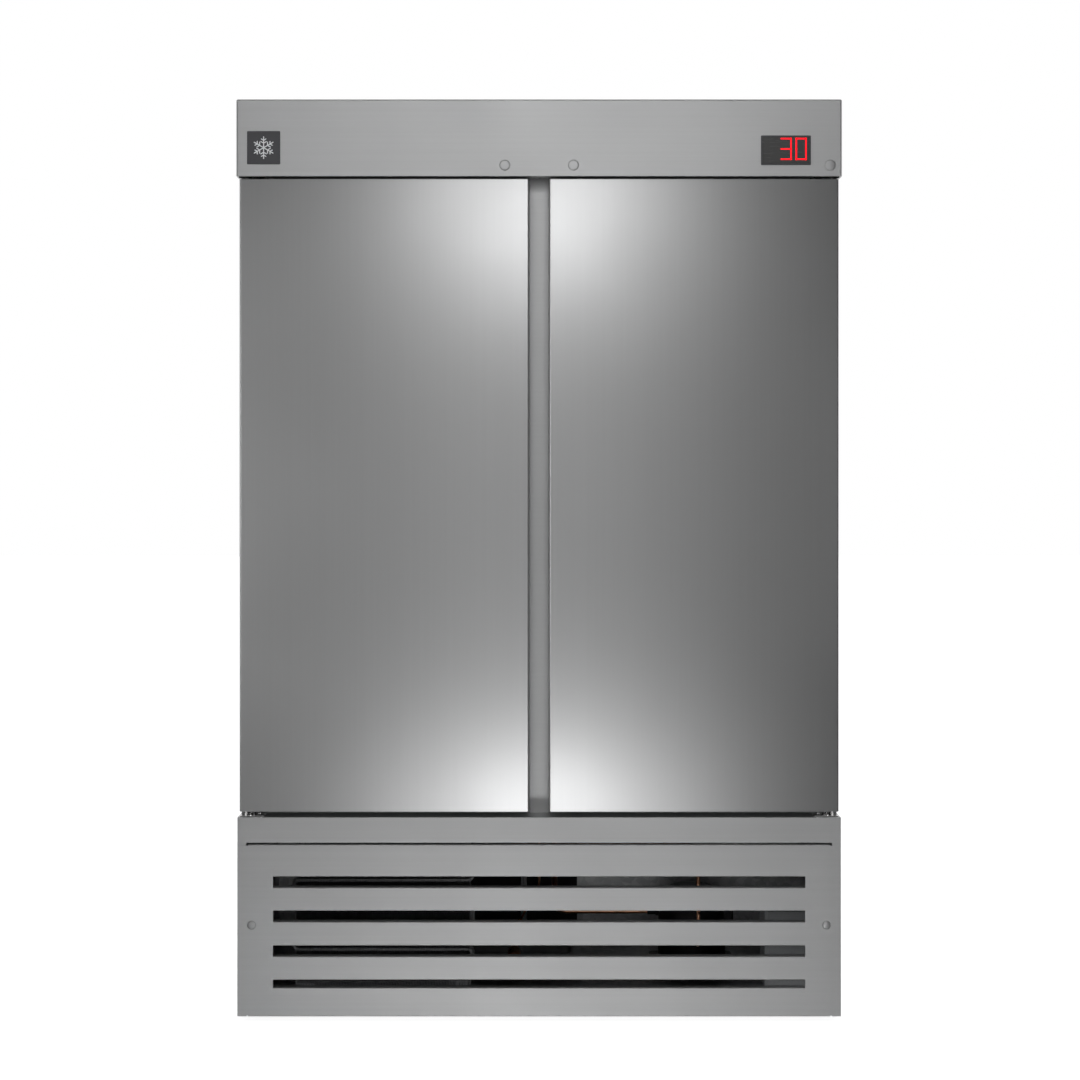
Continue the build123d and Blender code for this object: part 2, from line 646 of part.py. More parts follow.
with BuildPart() as electrical_box:
    add_slab((SKIN_INSIDE - BOX_WIDTH, SKIN_INSIDE), BOX_Y, BOX_Z)
    fillet(electrical_box.edges().filter_by(Axis.Z), 4)
    lid_x = (SKIN_INSIDE - BOX_WIDTH + 6, SKIN_INSIDE - 6)
    add_slab(lid_x, (BOX_Y[0] - 2, BOX_Y[0]), (BOX_Z[0] + 8, BOX_Z[1] - 8))
save(electrical_box.part, "electrical_box")

DRIER_X = -60.0
DRIER_Y = (-150.0, -40.0)
DRIER_RADIUS = 16.0
LIQUID_TURN_Y = 200.0          # where the liquid line leaves the floor for the duct
LIQUID_RISE_Z = 170.0
SUCTION_RISE_Z = 210.0
DISCHARGE_X = -80.0
DISCHARGE_Y = -120.0
CONDENSER_PORT_Y = middle(CONDENSER_Y)
PORT_STEP = length(CONDENSER_Z) / 6
LOWER_PIPE_Z = CONDENSER_Z[0] + 0.5 * PORT_STEP
CONDENSER_IN_Z = CONDENSER_Z[1] - 0.5 * PORT_STEP
CONDENSER_PORT_X = CONDENSER_X[1] + 8

with BuildPart() as filter_drier:
    with Locations(Location((DRIER_X, middle(DRIER_Y), LOWER_PIPE_Z), (90, 0, 0))):
        Cylinder(DRIER_RADIUS, length(DRIER_Y) - 20)
    fillet(filter_drier.edges().filter_by(GeomType.CIRCLE), 8)
    add_rod((DRIER_X, DRIER_Y[0], LOWER_PIPE_Z), (DRIER_X, DRIER_Y[1], LOWER_PIPE_Z), 5)
save(filter_drier.part, "filter_drier")

COIL_X = (-380.0, 380.0)
COIL_Y = (190.0, 300.0)
COIL_Z = (1898.0, 1998.0)
DRAIN_Z = 1890.0
COIL_PIPE_Z = (1931.0, 1945.0)

with BuildPart() as refrigerant_lines:
    add_pipe(
        [
            (CONDENSER_PORT_X, CONDENSER_PORT_Y, LOWER_PIPE_Z),
            (DRIER_X, CONDENSER_PORT_Y, LOWER_PIPE_Z),
            (DRIER_X, DRIER_Y[0], LOWER_PIPE_Z),
        ],
        radius=4,
        bend=25,
    )
    add_pipe(
        [
            (DRIER_X, DRIER_Y[1], LOWER_PIPE_Z),
            (DRIER_X, LIQUID_TURN_Y, LOWER_PIPE_Z),
            (0, CHASE_PIPE_Y, LIQUID_RISE_Z),
            (0, CHASE_PIPE_Y, COIL_PIPE_Z[0]),
            (0, COIL_Y[1], COIL_PIPE_Z[0]),
        ],
        radius=3.5,
        bend=20,
    )
    add_pipe(
        [
            (SUCTION_X, COIL_Y[1], COIL_PIPE_Z[1]),
            (SUCTION_X, CHASE_PIPE_Y, COIL_PIPE_Z[1]),
            (SUCTION_X, CHASE_PIPE_Y, SUCTION_RISE_Z),
            (SUCTION_X, COMPRESSOR_Y, SUCTION_Z),
            (COMPRESSOR_X - STUB_REACH, COMPRESSOR_Y, SUCTION_Z),
        ],
        radius=7,
        bend=30,
    )
    add_pipe(
        [
            (COMPRESSOR_X, COMPRESSOR_Y - STUB_REACH, DISCHARGE_Z),
            (COMPRESSOR_X, DISCHARGE_Y, DISCHARGE_Z),
            (COMPRESSOR_X, DISCHARGE_Y, CONDENSER_IN_Z),
            (DISCHARGE_X, DISCHARGE_Y, CONDENSER_IN_Z),
            (DISCHARGE_X, CONDENSER_PORT_Y, CONDENSER_IN_Z),
            (CONDENSER_PORT_X, CONDENSER_PORT_Y, CONDENSER_IN_Z),
        ],
        radius=4.5,
        bend=28,
    )
save(refrigerant_lines.part, "refrigerant_lines")

PAN_X = (-320.0, 80.0)
PAN_Y = (250.0, 390.0)
PAN_TOP = 72.0

with BuildPart() as evaporation_pan:
    add_slab(PAN_X, PAN_Y, (BASE_FLOOR_TOP, PAN_TOP))
    fillet(evaporation_pan.edges().filter_by(Axis.Z), 12)
    with BuildSketch(Plane.XY.offset(BASE_FLOOR_TOP + 2)):
        with Locations((middle(PAN_X), middle(PAN_Y))):
            RectangleRounded(length(PAN_X) - 4, length(PAN_Y) - 4, 10)
    extrude(amount=PAN_TOP, mode=Mode.SUBTRACT)
save(evaporation_pan.part, "evaporation_pan")

# --------------------------------------------------------- evaporator section

COVER_BACK = EVAPORATOR_Y[1]
FAN_HOLE = EVAPORATOR_FAN_RADIUS + 6
FAN_PLACES = [(side * EVAPORATOR_FAN_X, EVAPORATOR_FAN_Y) for side in (-1, 1)]

with BuildPart() as evaporator_cover:
    add_slab((-EVAPORATOR_HALF, EVAPORATOR_HALF), EVAPORATOR_Y, (EVAPORATOR_BOTTOM, CEILING))
    add_slab(
        (-EVAPORATOR_HALF + SHEET, EVAPORATOR_HALF - SHEET),
        (EVAPORATOR_Y[0] + SHEET, COVER_BACK - SHEET),
        (EVAPORATOR_BOTTOM + SHEET, CEILING),
        Mode.SUBTRACT,
    )
    with BuildSketch(Plane.XY.offset(EVAPORATOR_BOTTOM)):
        with Locations(*FAN_PLACES):
            Circle(FAN_HOLE)
    extrude(amount=SHEET, mode=Mode.SUBTRACT)
    with BuildSketch(front_plane(EVAPORATOR_Y[0] + SHEET)):
        with Locations((0, middle((EVAPORATOR_BOTTOM, CEILING)))):
            with GridLocations(100, 22, 8, 4):
                SlotOverall(80, 8)
    extrude(amount=SHEET, mode=Mode.SUBTRACT)
    pipe_window = (COIL_PIPE_Z[0] - 12, COIL_PIPE_Z[1] + 12)
    add_slab((-10, 60), (COVER_BACK - SHEET, COVER_BACK), pipe_window, Mode.SUBTRACT)
    add_rod((DRAIN_X, COVER_BACK - SHEET, DRAIN_Z), (DRAIN_X, COVER_BACK, DRAIN_Z), 6, Mode.SUBTRACT)
save(evaporator_cover.part, "evaporator_cover")

with BuildPart() as evaporator_coil:
    add_finned_coil(COIL_X, COIL_Y, COIL_Z, fins=48, rows=3, tube_radius=5)
save(evaporator_coil.part, "evaporator_coil")

EVAPORATOR_MOTOR_Z = (1924.0, 1970.0)
EVAPORATOR_BLADE_Z = (1892.0, 1912.0)
EVAPORATOR_MOTOR_RADIUS = 32.0
ARM_REACH = 98.0
ARM_HALF = 10.0
ARM_SHEET = 3.0

with BuildPart() as evaporator_fan_motors:
    for x, y in FAN_PLACES:
        with BuildSketch(Plane.XY.offset(EVAPORATOR_MOTOR_Z[0])):
            with Locations((x, y)):
                Circle(EVAPORATOR_MOTOR_RADIUS)
        extrude(amount=length(EVAPORATOR_MOTOR_Z))
        arm_y = (y - ARM_HALF, y + ARM_HALF)
        arm_z = (EVAPORATOR_MOTOR_Z[1] - 12, EVAPORATOR_MOTOR_Z[1] - 12 + ARM_SHEET)
        add_slab((x - ARM_REACH, x + ARM_REACH), arm_y, arm_z)
        for arm_end in (x - ARM_REACH, x + ARM_REACH - ARM_SHEET):
            add_slab((arm_end, arm_end + ARM_SHEET), arm_y, (EVAPORATOR_BOTTOM + SHEET, arm_z[1]))
        bore_top = (x, y, EVAPORATOR_MOTOR_Z[0] + 26)
        add_rod((x, y, EVAPORATOR_MOTOR_Z[0]), bore_top, SHAFT_RADIUS + SHAFT_CLEARANCE, Mode.SUBTRACT)
save(evaporator_fan_motors.part, "evaporator_fan_motors")

for side, name in ((-1, "evaporator_fan_left"), (1, "evaporator_fan_right")):
    with BuildPart() as evaporator_fan:
        add_fan(
            Plane(
                origin=(side * EVAPORATOR_FAN_X, EVAPORATOR_FAN_Y, EVAPORATOR_BLADE_Z[1]),
                x_dir=(1, 0, 0),
                z_dir=(0, 0, -1),
            ),
            radius=EVAPORATOR_FAN_RADIUS - 6,
            hub=18,
            thickness=length(EVAPORATOR_BLADE_Z),
            shaft=EVAPORATOR_MOTOR_Z[0] - EVAPORATOR_BLADE_Z[1] + 22,
            blades=5,
            pitch=22,
        )
    save(evaporator_fan.part, name)

with BuildPart() as drain_tube:
    add_pipe(
        [
            (DRAIN_X, COVER_BACK, DRAIN_Z),
            (DRAIN_X, CHASE_PIPE_Y, DRAIN_Z),
            (DRAIN_X, CHASE_PIPE_Y, PAN_TOP - 12),
        ],
        radius=8,
        bend=24,
        bore=6,
    )
save(drain_tube.part, "drain_tube")

LAMP_HALF = 320.0
LAMP_DEPTH = 34.0
LAMP_HEIGHT = 26.0
LAMP_SLOPE = (16.0, 12.0)      # its front lower edge is cut back this much
LAMP_BACK = SOFFIT_Y + SHEET

with BuildPart() as interior_lamp:
    with BuildSketch(Plane.YZ.offset(-LAMP_HALF)):
        with BuildLine():
            Polyline(
                (LAMP_BACK, CEILING),
                (LAMP_BACK + LAMP_DEPTH, CEILING),
                (LAMP_BACK + LAMP_DEPTH, CEILING - LAMP_HEIGHT + LAMP_SLOPE[1]),
                (LAMP_BACK + LAMP_DEPTH - LAMP_SLOPE[0], CEILING - LAMP_HEIGHT),
                (LAMP_BACK, CEILING - LAMP_HEIGHT),
                close=True,
            )
        make_face()
    extrude(amount=2 * LAMP_HALF)
save(interior_lamp.part, "interior_lamp")

# ------------------------------------------------------------------- shelving

FRAME_WIRE = 4.0
CROSS_WIRE = 3.0
DECK_WIRE = 2.0
DECK_WIRES = 23
CROSS_WIRE_Y = (-150.0, 27.0, 204.0)
RIM_BEND = 18.0
WELD_SINK = 1.2                # how far a deck wire is welded into the cross wires
CLIP_THICKNESS = 3.0
CLIP_REACH = 18.0
CLIP_HALF = 9.0
HOOK_DROP = 22.0


def shelf_deck(side):
    """Returns three wire shelves on one side of the cabinet, as separate solids in one part."""
    x = across(side, *SHELF_X)
    first = SHELF_HEIGHTS[0]
    with BuildPart() as shelf:
        with BuildLine() as rim:
            FilletPolyline(
                (x[0], SHELF_Y[0], first),
                (x[1], SHELF_Y[0], first),
                (x[1], SHELF_Y[1], first),
                (x[0], SHELF_Y[1], first),
                radius=RIM_BEND,
                close=True,
            )
        with BuildSketch(Plane(origin=rim.line @ 0, z_dir=rim.line % 0)):
            Circle(FRAME_WIRE)
        sweep(path=rim.line)
        for y in CROSS_WIRE_Y:
            add_rod((x[0], y, first), (x[1], y, first), CROSS_WIRE)
        pitch = length(x) / (DECK_WIRES + 1)
        deck = first + CROSS_WIRE + DECK_WIRE - WELD_SINK
        for index in range(1, DECK_WIRES + 1):
            wire_x = x[0] + index * pitch
            add_rod((wire_x, SHELF_Y[0] - 2, deck), (wire_x, SHELF_Y[1] + 2, deck), DECK_WIRE)
    with BuildPart() as stack:
        for height in SHELF_HEIGHTS:
            add(Pos(0, 0, height - first) * shelf.part)
    return stack.part


for side, name in ((-1, "shelves_left"), (1, "shelves_right")):
    save(shelf_deck(side), name)

with BuildPart() as shelf_pilasters:
    for side in (-1, 1):
        for y in PILASTER_Y:
            wall_y = (y - PILASTER[1] / 2, y + PILASTER[1] / 2)
            add_slab(across(side, OPENING_X - PILASTER[0], OPENING_X), wall_y, PILASTER_Z)
        post_x = across(side, PILASTER_X - PILASTER[1] / 2, PILASTER_X + PILASTER[1] / 2)
        add_slab(post_x, (MULLION_Y[1], MULLION_Y[1] + PILASTER[0]), PILASTER_Z)
        add_slab(post_x, (INSIDE_BACK - PILASTER[0], INSIDE_BACK), PILASTER_Z)
save(shelf_pilasters.part, "shelf_pilasters")

CLIP_TOP = -FRAME_WIRE

with BuildPart() as shelf_clips:
    for height in SHELF_HEIGHTS:
        clip_z = (height + CLIP_TOP - CLIP_THICKNESS, height + CLIP_TOP)
        hook_z = (height + CLIP_TOP - HOOK_DROP, height + CLIP_TOP)
        for side in (-1, 1):
            wall = OPENING_X - PILASTER[0]
            for y in PILASTER_Y:
                clip_y = (y - CLIP_HALF, y + CLIP_HALF)
                add_slab(across(side, wall - CLIP_REACH, wall), clip_y, clip_z)
                add_slab(across(side, wall - CLIP_THICKNESS, wall), clip_y, hook_z)
            post_x = across(side, PILASTER_X - CLIP_HALF, PILASTER_X + CLIP_HALF)
            front = MULLION_Y[1] + PILASTER[0]
            back = INSIDE_BACK - PILASTER[0]
            add_slab(post_x, (front, front + CLIP_REACH), clip_z)
            add_slab(post_x, (front, front + CLIP_THICKNESS), hook_z)
            add_slab(post_x, (back - CLIP_REACH, back), clip_z)
            add_slab(post_x, (back - CLIP_THICKNESS, back), hook_z)
save(shelf_clips.part, "shelf_clips")

# --------------------------------------------------------------------- hinges

BRACKET_X = (HINGE_X - 34, HINGE_X + 24)
BRACKET_Y = (HINGE_Y - 20, HINGE_Y + 36)
BOTTOM_PLATE = 3.0
BARREL_RADIUS = 13.0
DOOR_PLAY = 0.6
PIN_REACH = 26.0
TOP_FLANGE = 60.0              # upright flange of the top bracket
TOP_PLATE = 4.0
TOP_PLATE_Z = (HEADER_BOTTOM - TOP_PLATE, HEADER_BOTTOM)
SCREW_LENGTH = 12.0
HINGE_HEAD = (5.0, 2.0)        # radius and height of a screw head

with BuildPart() as hinge_brackets_bottom:
    for side in (-1, 1):
        add_slab(across(side, *BRACKET_X), BRACKET_Y, (SILL_TOP, SILL_TOP + BOTTOM_PLATE))
        axis = (side * HINGE_X, HINGE_Y)
        add_rod((*axis, SILL_TOP), (*axis, DOOR_BOTTOM - DOOR_PLAY), BARREL_RADIUS)
        add_rod((*axis, SILL_TOP), (*axis, DOOR_BOTTOM + PIN_REACH), PIN_RADIUS)
        for inwards, backwards in HINGE_SCREWS:
            place = (side * (HINGE_X - inwards), HINGE_Y + backwards)
            add_rod((*place, SILL_TOP - SCREW_LENGTH), (*place, SILL_TOP), HINGE_SCREW_RADIUS)
            head_top = SILL_TOP + BOTTOM_PLATE + HINGE_HEAD[1]
            add_rod((*place, SILL_TOP), (*place, head_top), HINGE_HEAD[0])
save(hinge_brackets_bottom.part, "hinge_brackets_bottom")

with BuildPart() as hinge_brackets_top:
    for side in (-1, 1):
        add_slab(across(side, *BRACKET_X), (BRACKET_Y[0], FACE), TOP_PLATE_Z)
        flange_z = (TOP_PLATE_Z[0], HEADER_BOTTOM + TOP_FLANGE)
        add_slab(across(side, *BRACKET_X), (FACE - TOP_PLATE, FACE), flange_z)
        axis = (side * HINGE_X, HINGE_Y)
        add_rod((*axis, DOOR_TOP - PIN_REACH), (*axis, TOP_PLATE_Z[1]), PIN_RADIUS)
save(hinge_brackets_top.part, "hinge_brackets_top")

# ---------------------------------------------------------------------- doors

GRIP_DEPTH = 22.0              # how far fingers reach in from the door's edge
GRIP_Y = (-380.0, -355.0)
GRIP_SHEET = 1.5
LINER_RAISE = 4.0
GASKET_X = (30.0, 652.0)
GASKET_Z = (481.0, 1899.0)
GASKET_WIDTH = 18.0
GASKET_Y = (DOOR_BACK, FACE - 0.4)
RAISE_INSET = 26.0

DOOR_CORE_Y = (DOOR_FRONT + DOOR_SHEET, DOOR_BACK - DOOR_SHEET)
DOOR_CORE_Z = (DOOR_BOTTOM + DOOR_SHEET, DOOR_TOP - DOOR_SHEET)
GRIP_WALLS_Y = (GRIP_Y[0] - GRIP_SHEET, GRIP_Y[1] + GRIP_SHEET)
GRIP_WEB = DOOR_INNER + GRIP_DEPTH
BUSH_SPANS = ((DOOR_BOTTOM, DOOR_BOTTOM + BUSH_LENGTH), (DOOR_TOP - BUSH_LENGTH, DOOR_TOP))
RAISE_X = (GASKET_X[0] + RAISE_INSET, GASKET_X[1] - RAISE_INSET)
RAISE_Z = (GASKET_Z[0] + RAISE_INSET, GASKET_Z[1] - RAISE_INSET)


def door_skin(side):
    """Returns the folded outer skin: front, hinge edge, closed ends and the lip of the grip."""
    with BuildPart() as skin:
        with BuildSketch(Plane.XY.offset(DOOR_BOTTOM)) as outline:
            with Locations((side * (DOOR_OUTER + DOOR_INNER) / 2, (DOOR_FRONT + DOOR_BACK) / 2)):
                Rectangle(DOOR_OUTER - DOOR_INNER, DOOR_BACK - DOOR_FRONT)
            fillet(outline.vertices().group_by(Axis.Y)[0], DOOR_BEND)
        extrude(amount=DOOR_TOP - DOOR_BOTTOM)
        with BuildSketch(Plane.XY.offset(DOOR_CORE_Z[0])) as hollow:
            with Locations((side * (DOOR_OUTER + DOOR_INNER) / 2, (DOOR_CORE_Y[0] + DOOR_BACK) / 2)):
                Rectangle(DOOR_OUTER - DOOR_INNER - 2 * DOOR_SHEET, DOOR_BACK - DOOR_CORE_Y[0])
            fillet(hollow.vertices().group_by(Axis.Y)[0], DOOR_BEND - DOOR_SHEET)
        extrude(amount=length(DOOR_CORE_Z), mode=Mode.SUBTRACT)
        add_slab(
            across(side, DOOR_INNER, DOOR_INNER + DOOR_SHEET),
            (GRIP_WALLS_Y[0], DOOR_BACK),
            DOOR_CORE_Z,
            Mode.SUBTRACT,
        )
        add_rod(
            (side * HINGE_X, HINGE_Y, DOOR_BOTTOM),
            (side * HINGE_X, HINGE_Y, DOOR_TOP),
            BUSH_RADIUS + CLEARANCE,
            Mode.SUBTRACT,
        )
    return skin.part


def door_liner(side):
    """Returns the inner sheet: a flat back with a raised field and a return along the grip."""
    with BuildPart() as liner:
        inside = (DOOR_BACK - DOOR_SHEET, DOOR_BACK)
        add_slab(across(side, DOOR_INNER, DOOR_OUTER - DOOR_SHEET), inside, DOOR_CORE_Z)
        add_slab(
            across(side, DOOR_INNER, DOOR_INNER + DOOR_SHEET),
            (GRIP_WALLS_Y[1], DOOR_BACK),
            DOOR_CORE_Z,
        )
        add_slab(across(side, *RAISE_X), (inside[0], DOOR_BACK + LINER_RAISE), RAISE_Z)
        add_slab(
            across(side, RAISE_X[0] + DOOR_SHEET, RAISE_X[1] - DOOR_SHEET),
            (inside[0], DOOR_BACK + LINER_RAISE - DOOR_SHEET),
            (RAISE_Z[0] + DOOR_SHEET, RAISE_Z[1] - DOOR_SHEET),
            Mode.SUBTRACT,
        )
    return liner.part


def door_core(side):
    """Returns the foam that fills the door between its skin, grip and liner."""
    with BuildPart() as core:
        with BuildSketch(Plane.XY.offset(DOOR_CORE_Z[0])) as outline:
            with Locations((side * (DOOR_OUTER + DOOR_INNER) / 2, middle(DOOR_CORE_Y))):
                Rectangle(DOOR_OUTER - DOOR_INNER - 2 * DOOR_SHEET, length(DOOR_CORE_Y))
            fillet(outline.vertices().group_by(Axis.Y)[0], DOOR_BEND - DOOR_SHEET)
        extrude(amount=length(DOOR_CORE_Z))
        add_slab(
            across(side, DOOR_INNER, GRIP_WEB + GRIP_SHEET),
            GRIP_WALLS_Y,
            DOOR_CORE_Z,
            Mode.SUBTRACT,
        )
        add_slab(
            across(side, RAISE_X[0] + DOOR_SHEET, RAISE_X[1] - DOOR_SHEET),
            (DOOR_CORE_Y[1], DOOR_BACK + LINER_RAISE - DOOR_SHEET),
            (RAISE_Z[0] + DOOR_SHEET, RAISE_Z[1] - DOOR_SHEET),
        )
        for span in BUSH_SPANS:
            add_rod(
                (side * HINGE_X, HINGE_Y, span[0]),
                (side * HINGE_X, HINGE_Y, span[1]),
                BUSH_RADIUS + CLEARANCE,
                Mode.SUBTRACT,
            )
    return core.part


def door_grip(side):
    """Returns the full-height channel in the door's free edge that fingers pull on."""
    with BuildPart() as grip:
        add_slab(across(side, DOOR_INNER, GRIP_WEB + GRIP_SHEET), GRIP_WALLS_Y, DOOR_CORE_Z)
        add_slab(across(side, DOOR_INNER, GRIP_WEB), GRIP_Y, DOOR_CORE_Z, Mode.SUBTRACT)
    return grip.part


def door_gasket(side):
    """Returns the magnetic gasket, one closed ring on the back of the door."""
    with BuildPart() as gasket:
        with BuildSketch(front_plane(GASKET_Y[1])):
            with Locations((side * middle(GASKET_X), middle(GASKET_Z))):
                Rectangle(length(GASKET_X), length(GASKET_Z))
                Rectangle(
                    length(GASKET_X) - 2 * GASKET_WIDTH,
                    length(GASKET_Z) - 2 * GASKET_WIDTH,
                    mode=Mode.SUBTRACT,
                )
        extrude(amount=length(GASKET_Y))
    return gasket.part


def door_bushes(side):
    """Returns the two bearing bushes in the door's ends."""
    with BuildPart() as bushes:
        for span in BUSH_SPANS:
            low = (side * HINGE_X, HINGE_Y, span[0])
            high = (side * HINGE_X, HINGE_Y, span[1])
            add_rod(low, high, BUSH_RADIUS)
            add_rod(low, high, BUSH_BORE_RADIUS, Mode.SUBTRACT)
    return bushes.part


for side, hand in ((-1, "left"), (1, "right")):
    save(door_skin(side), f"door_skin_{hand}")
    save(door_core(side), f"door_core_{hand}")
    save(door_liner(side), f"door_liner_{hand}")
    save(door_grip(side), f"door_grip_{hand}")
    save(door_gasket(side), f"door_gasket_{hand}")
    save(door_bushes(side), f"door_bushes_{hand}")
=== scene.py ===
"""A two-door reach-in refrigerator, dressed for a studio picture.

Metres. X runs across the front, +Y to the back and +Z up. Every piece is built where it belongs
and rides on the body of the frame that carries it.
"""
import json
import logging
import math
from dataclasses import dataclass
from enum import Enum
from typing import Optional, Sequence

import bmesh
import bpy
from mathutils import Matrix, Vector

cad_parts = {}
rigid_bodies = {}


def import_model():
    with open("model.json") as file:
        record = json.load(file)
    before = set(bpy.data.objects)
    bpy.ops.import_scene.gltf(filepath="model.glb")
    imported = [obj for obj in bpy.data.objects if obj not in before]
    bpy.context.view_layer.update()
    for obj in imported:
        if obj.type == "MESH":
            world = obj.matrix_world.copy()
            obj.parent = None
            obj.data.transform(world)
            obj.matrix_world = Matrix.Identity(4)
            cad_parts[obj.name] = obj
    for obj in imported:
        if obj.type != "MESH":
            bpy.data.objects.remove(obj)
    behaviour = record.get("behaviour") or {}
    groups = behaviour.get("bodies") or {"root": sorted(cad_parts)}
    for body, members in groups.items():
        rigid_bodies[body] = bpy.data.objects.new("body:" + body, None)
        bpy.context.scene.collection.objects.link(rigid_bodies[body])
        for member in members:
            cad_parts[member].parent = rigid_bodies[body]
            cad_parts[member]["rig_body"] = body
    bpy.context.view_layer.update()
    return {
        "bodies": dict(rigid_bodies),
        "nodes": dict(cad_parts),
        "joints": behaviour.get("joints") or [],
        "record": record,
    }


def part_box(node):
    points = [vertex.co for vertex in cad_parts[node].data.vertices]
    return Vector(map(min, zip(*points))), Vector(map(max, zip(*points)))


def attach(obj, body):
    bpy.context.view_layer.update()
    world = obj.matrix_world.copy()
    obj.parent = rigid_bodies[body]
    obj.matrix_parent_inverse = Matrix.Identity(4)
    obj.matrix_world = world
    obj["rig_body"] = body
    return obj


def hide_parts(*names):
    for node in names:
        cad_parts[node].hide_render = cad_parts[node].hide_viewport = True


LOG = logging.getLogger("refrigerator")
SHEET = 0.0015
SMOOTH_ANGLE = math.radians(38)
Point = Sequence[float]
Loop = list[Vector]


class Along(Enum):
    """The axis that a section is drawn square to, and how its two numbers lie in space."""

    X = (1, 2, 0)
    Y = (0, 2, 1)
    Z = (0, 1, 2)

    def at(self, u: float, v: float, w: float) -> Vector:
        """Returns the point whose section numbers are u and v, at w along the axis."""
        place = Vector((0.0, 0.0, 0.0))
        for axis, value in zip(self.value, (u, v, w)):
            place[axis] = value
        return place


@dataclass(frozen=True)
class Room:
    """The box that one part of the frame fills at rest."""

    low: Vector
    high: Vector

    @classmethod
    def of(cls, node: str) -> "Room":
        """Returns the box of a named part."""
        return cls(*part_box(node))

    @property
    def middle(self) -> Vector:
        """The middle of the box."""
        return (self.low + self.high) / 2

    @property
    def size(self) -> Vector:
        """The three side lengths."""
        return self.high - self.low

    def half(self, side: int) -> "Room":
        """Returns the half of a mirrored pair's box: side is -1 (left) or 1 (right)."""
        low, high = self.low.copy(), self.high.copy()
        if side < 0:
            high.x = 0.0
        else:
            low.x = 0.0
        return Room(low, high)


# ------------------------------------------------------------------ shapes


def bent(corners: Sequence[Point], radii, closed: bool = False, steps: int = 6) -> Loop:
    """Turns a run of corners into a line whose corners are arcs.

    Args:
        corners: the corner points, in two or three numbers.
        radii: one radius for every corner, or a list with one for each.
        closed: whether the last corner joins the first.
        steps: how many straight pieces each arc has.

    Returns:
        The points of the line.
    """
    points = [Vector((*corner, 0.0)[:3]) for corner in corners]
    count = len(points)
    radii = [radii] * count if isinstance(radii, (int, float)) else list(radii)
    line: Loop = []
    for index, corner in enumerate(points):
        ending = not closed and index in (0, count - 1)
        if ending or radii[index] <= 0:
            line.append(corner)
            continue
        back = (points[index - 1] - corner).normalized()
        ahead = (points[(index + 1) % count] - corner).normalized()
        half = back.angle(ahead) / 2
        if half > math.pi / 2 - 1e-3:
            line.append(corner)
            continue
        reach = radii[index] / math.tan(half)
        centre = corner + (back + ahead).normalized() * (radii[index] / math.sin(half))
        start = (corner + back * reach - centre).normalized()
        end = (corner + ahead * reach - centre).normalized()
        line.extend(centre + start.slerp(end, step / steps) * radii[index] for step in range(steps + 1))
    return line


def thick(line: Loop, thickness: float) -> Loop:
    """Returns the closed outline of a sheet that follows a flat line, thickened to its left."""
    inner: Loop = []
    for index, point in enumerate(line):
        before = (point - line[index - 1]).normalized() if index else None
        after = (line[index + 1] - point).normalized() if index < len(line) - 1 else None
        before, after = before or after, after or before
        normal = Vector((-before.y - after.y, before.x + after.x, 0.0)).normalized()
        left = Vector((-after.y, after.x, 0.0))
        inner.append(point + normal * (thickness / max(normal.dot(left), 0.2)))
    return list(line) + inner[::-1]


def box_outline(low: Point, high: Point, radius: float = 0.0, steps: int = 5) -> Loop:
    """Returns the outline of a rectangle between two corners, with rounded corners."""
    corners = ((low[0], low[1]), (high[0], low[1]), (high[0], high[1]), (low[0], high[1]))
    return bent(corners, radius, closed=True, steps=steps)


def disc_outline(centre: Point, radius: float, sides: int = 32) -> Loop:
    """Returns the outline of a circle."""
    turn = 2 * math.pi / sides
    return [
        Vector((centre[0] + radius * math.cos(i * turn), centre[1] + radius * math.sin(i * turn), 0.0))
        for i in range(sides)
    ]


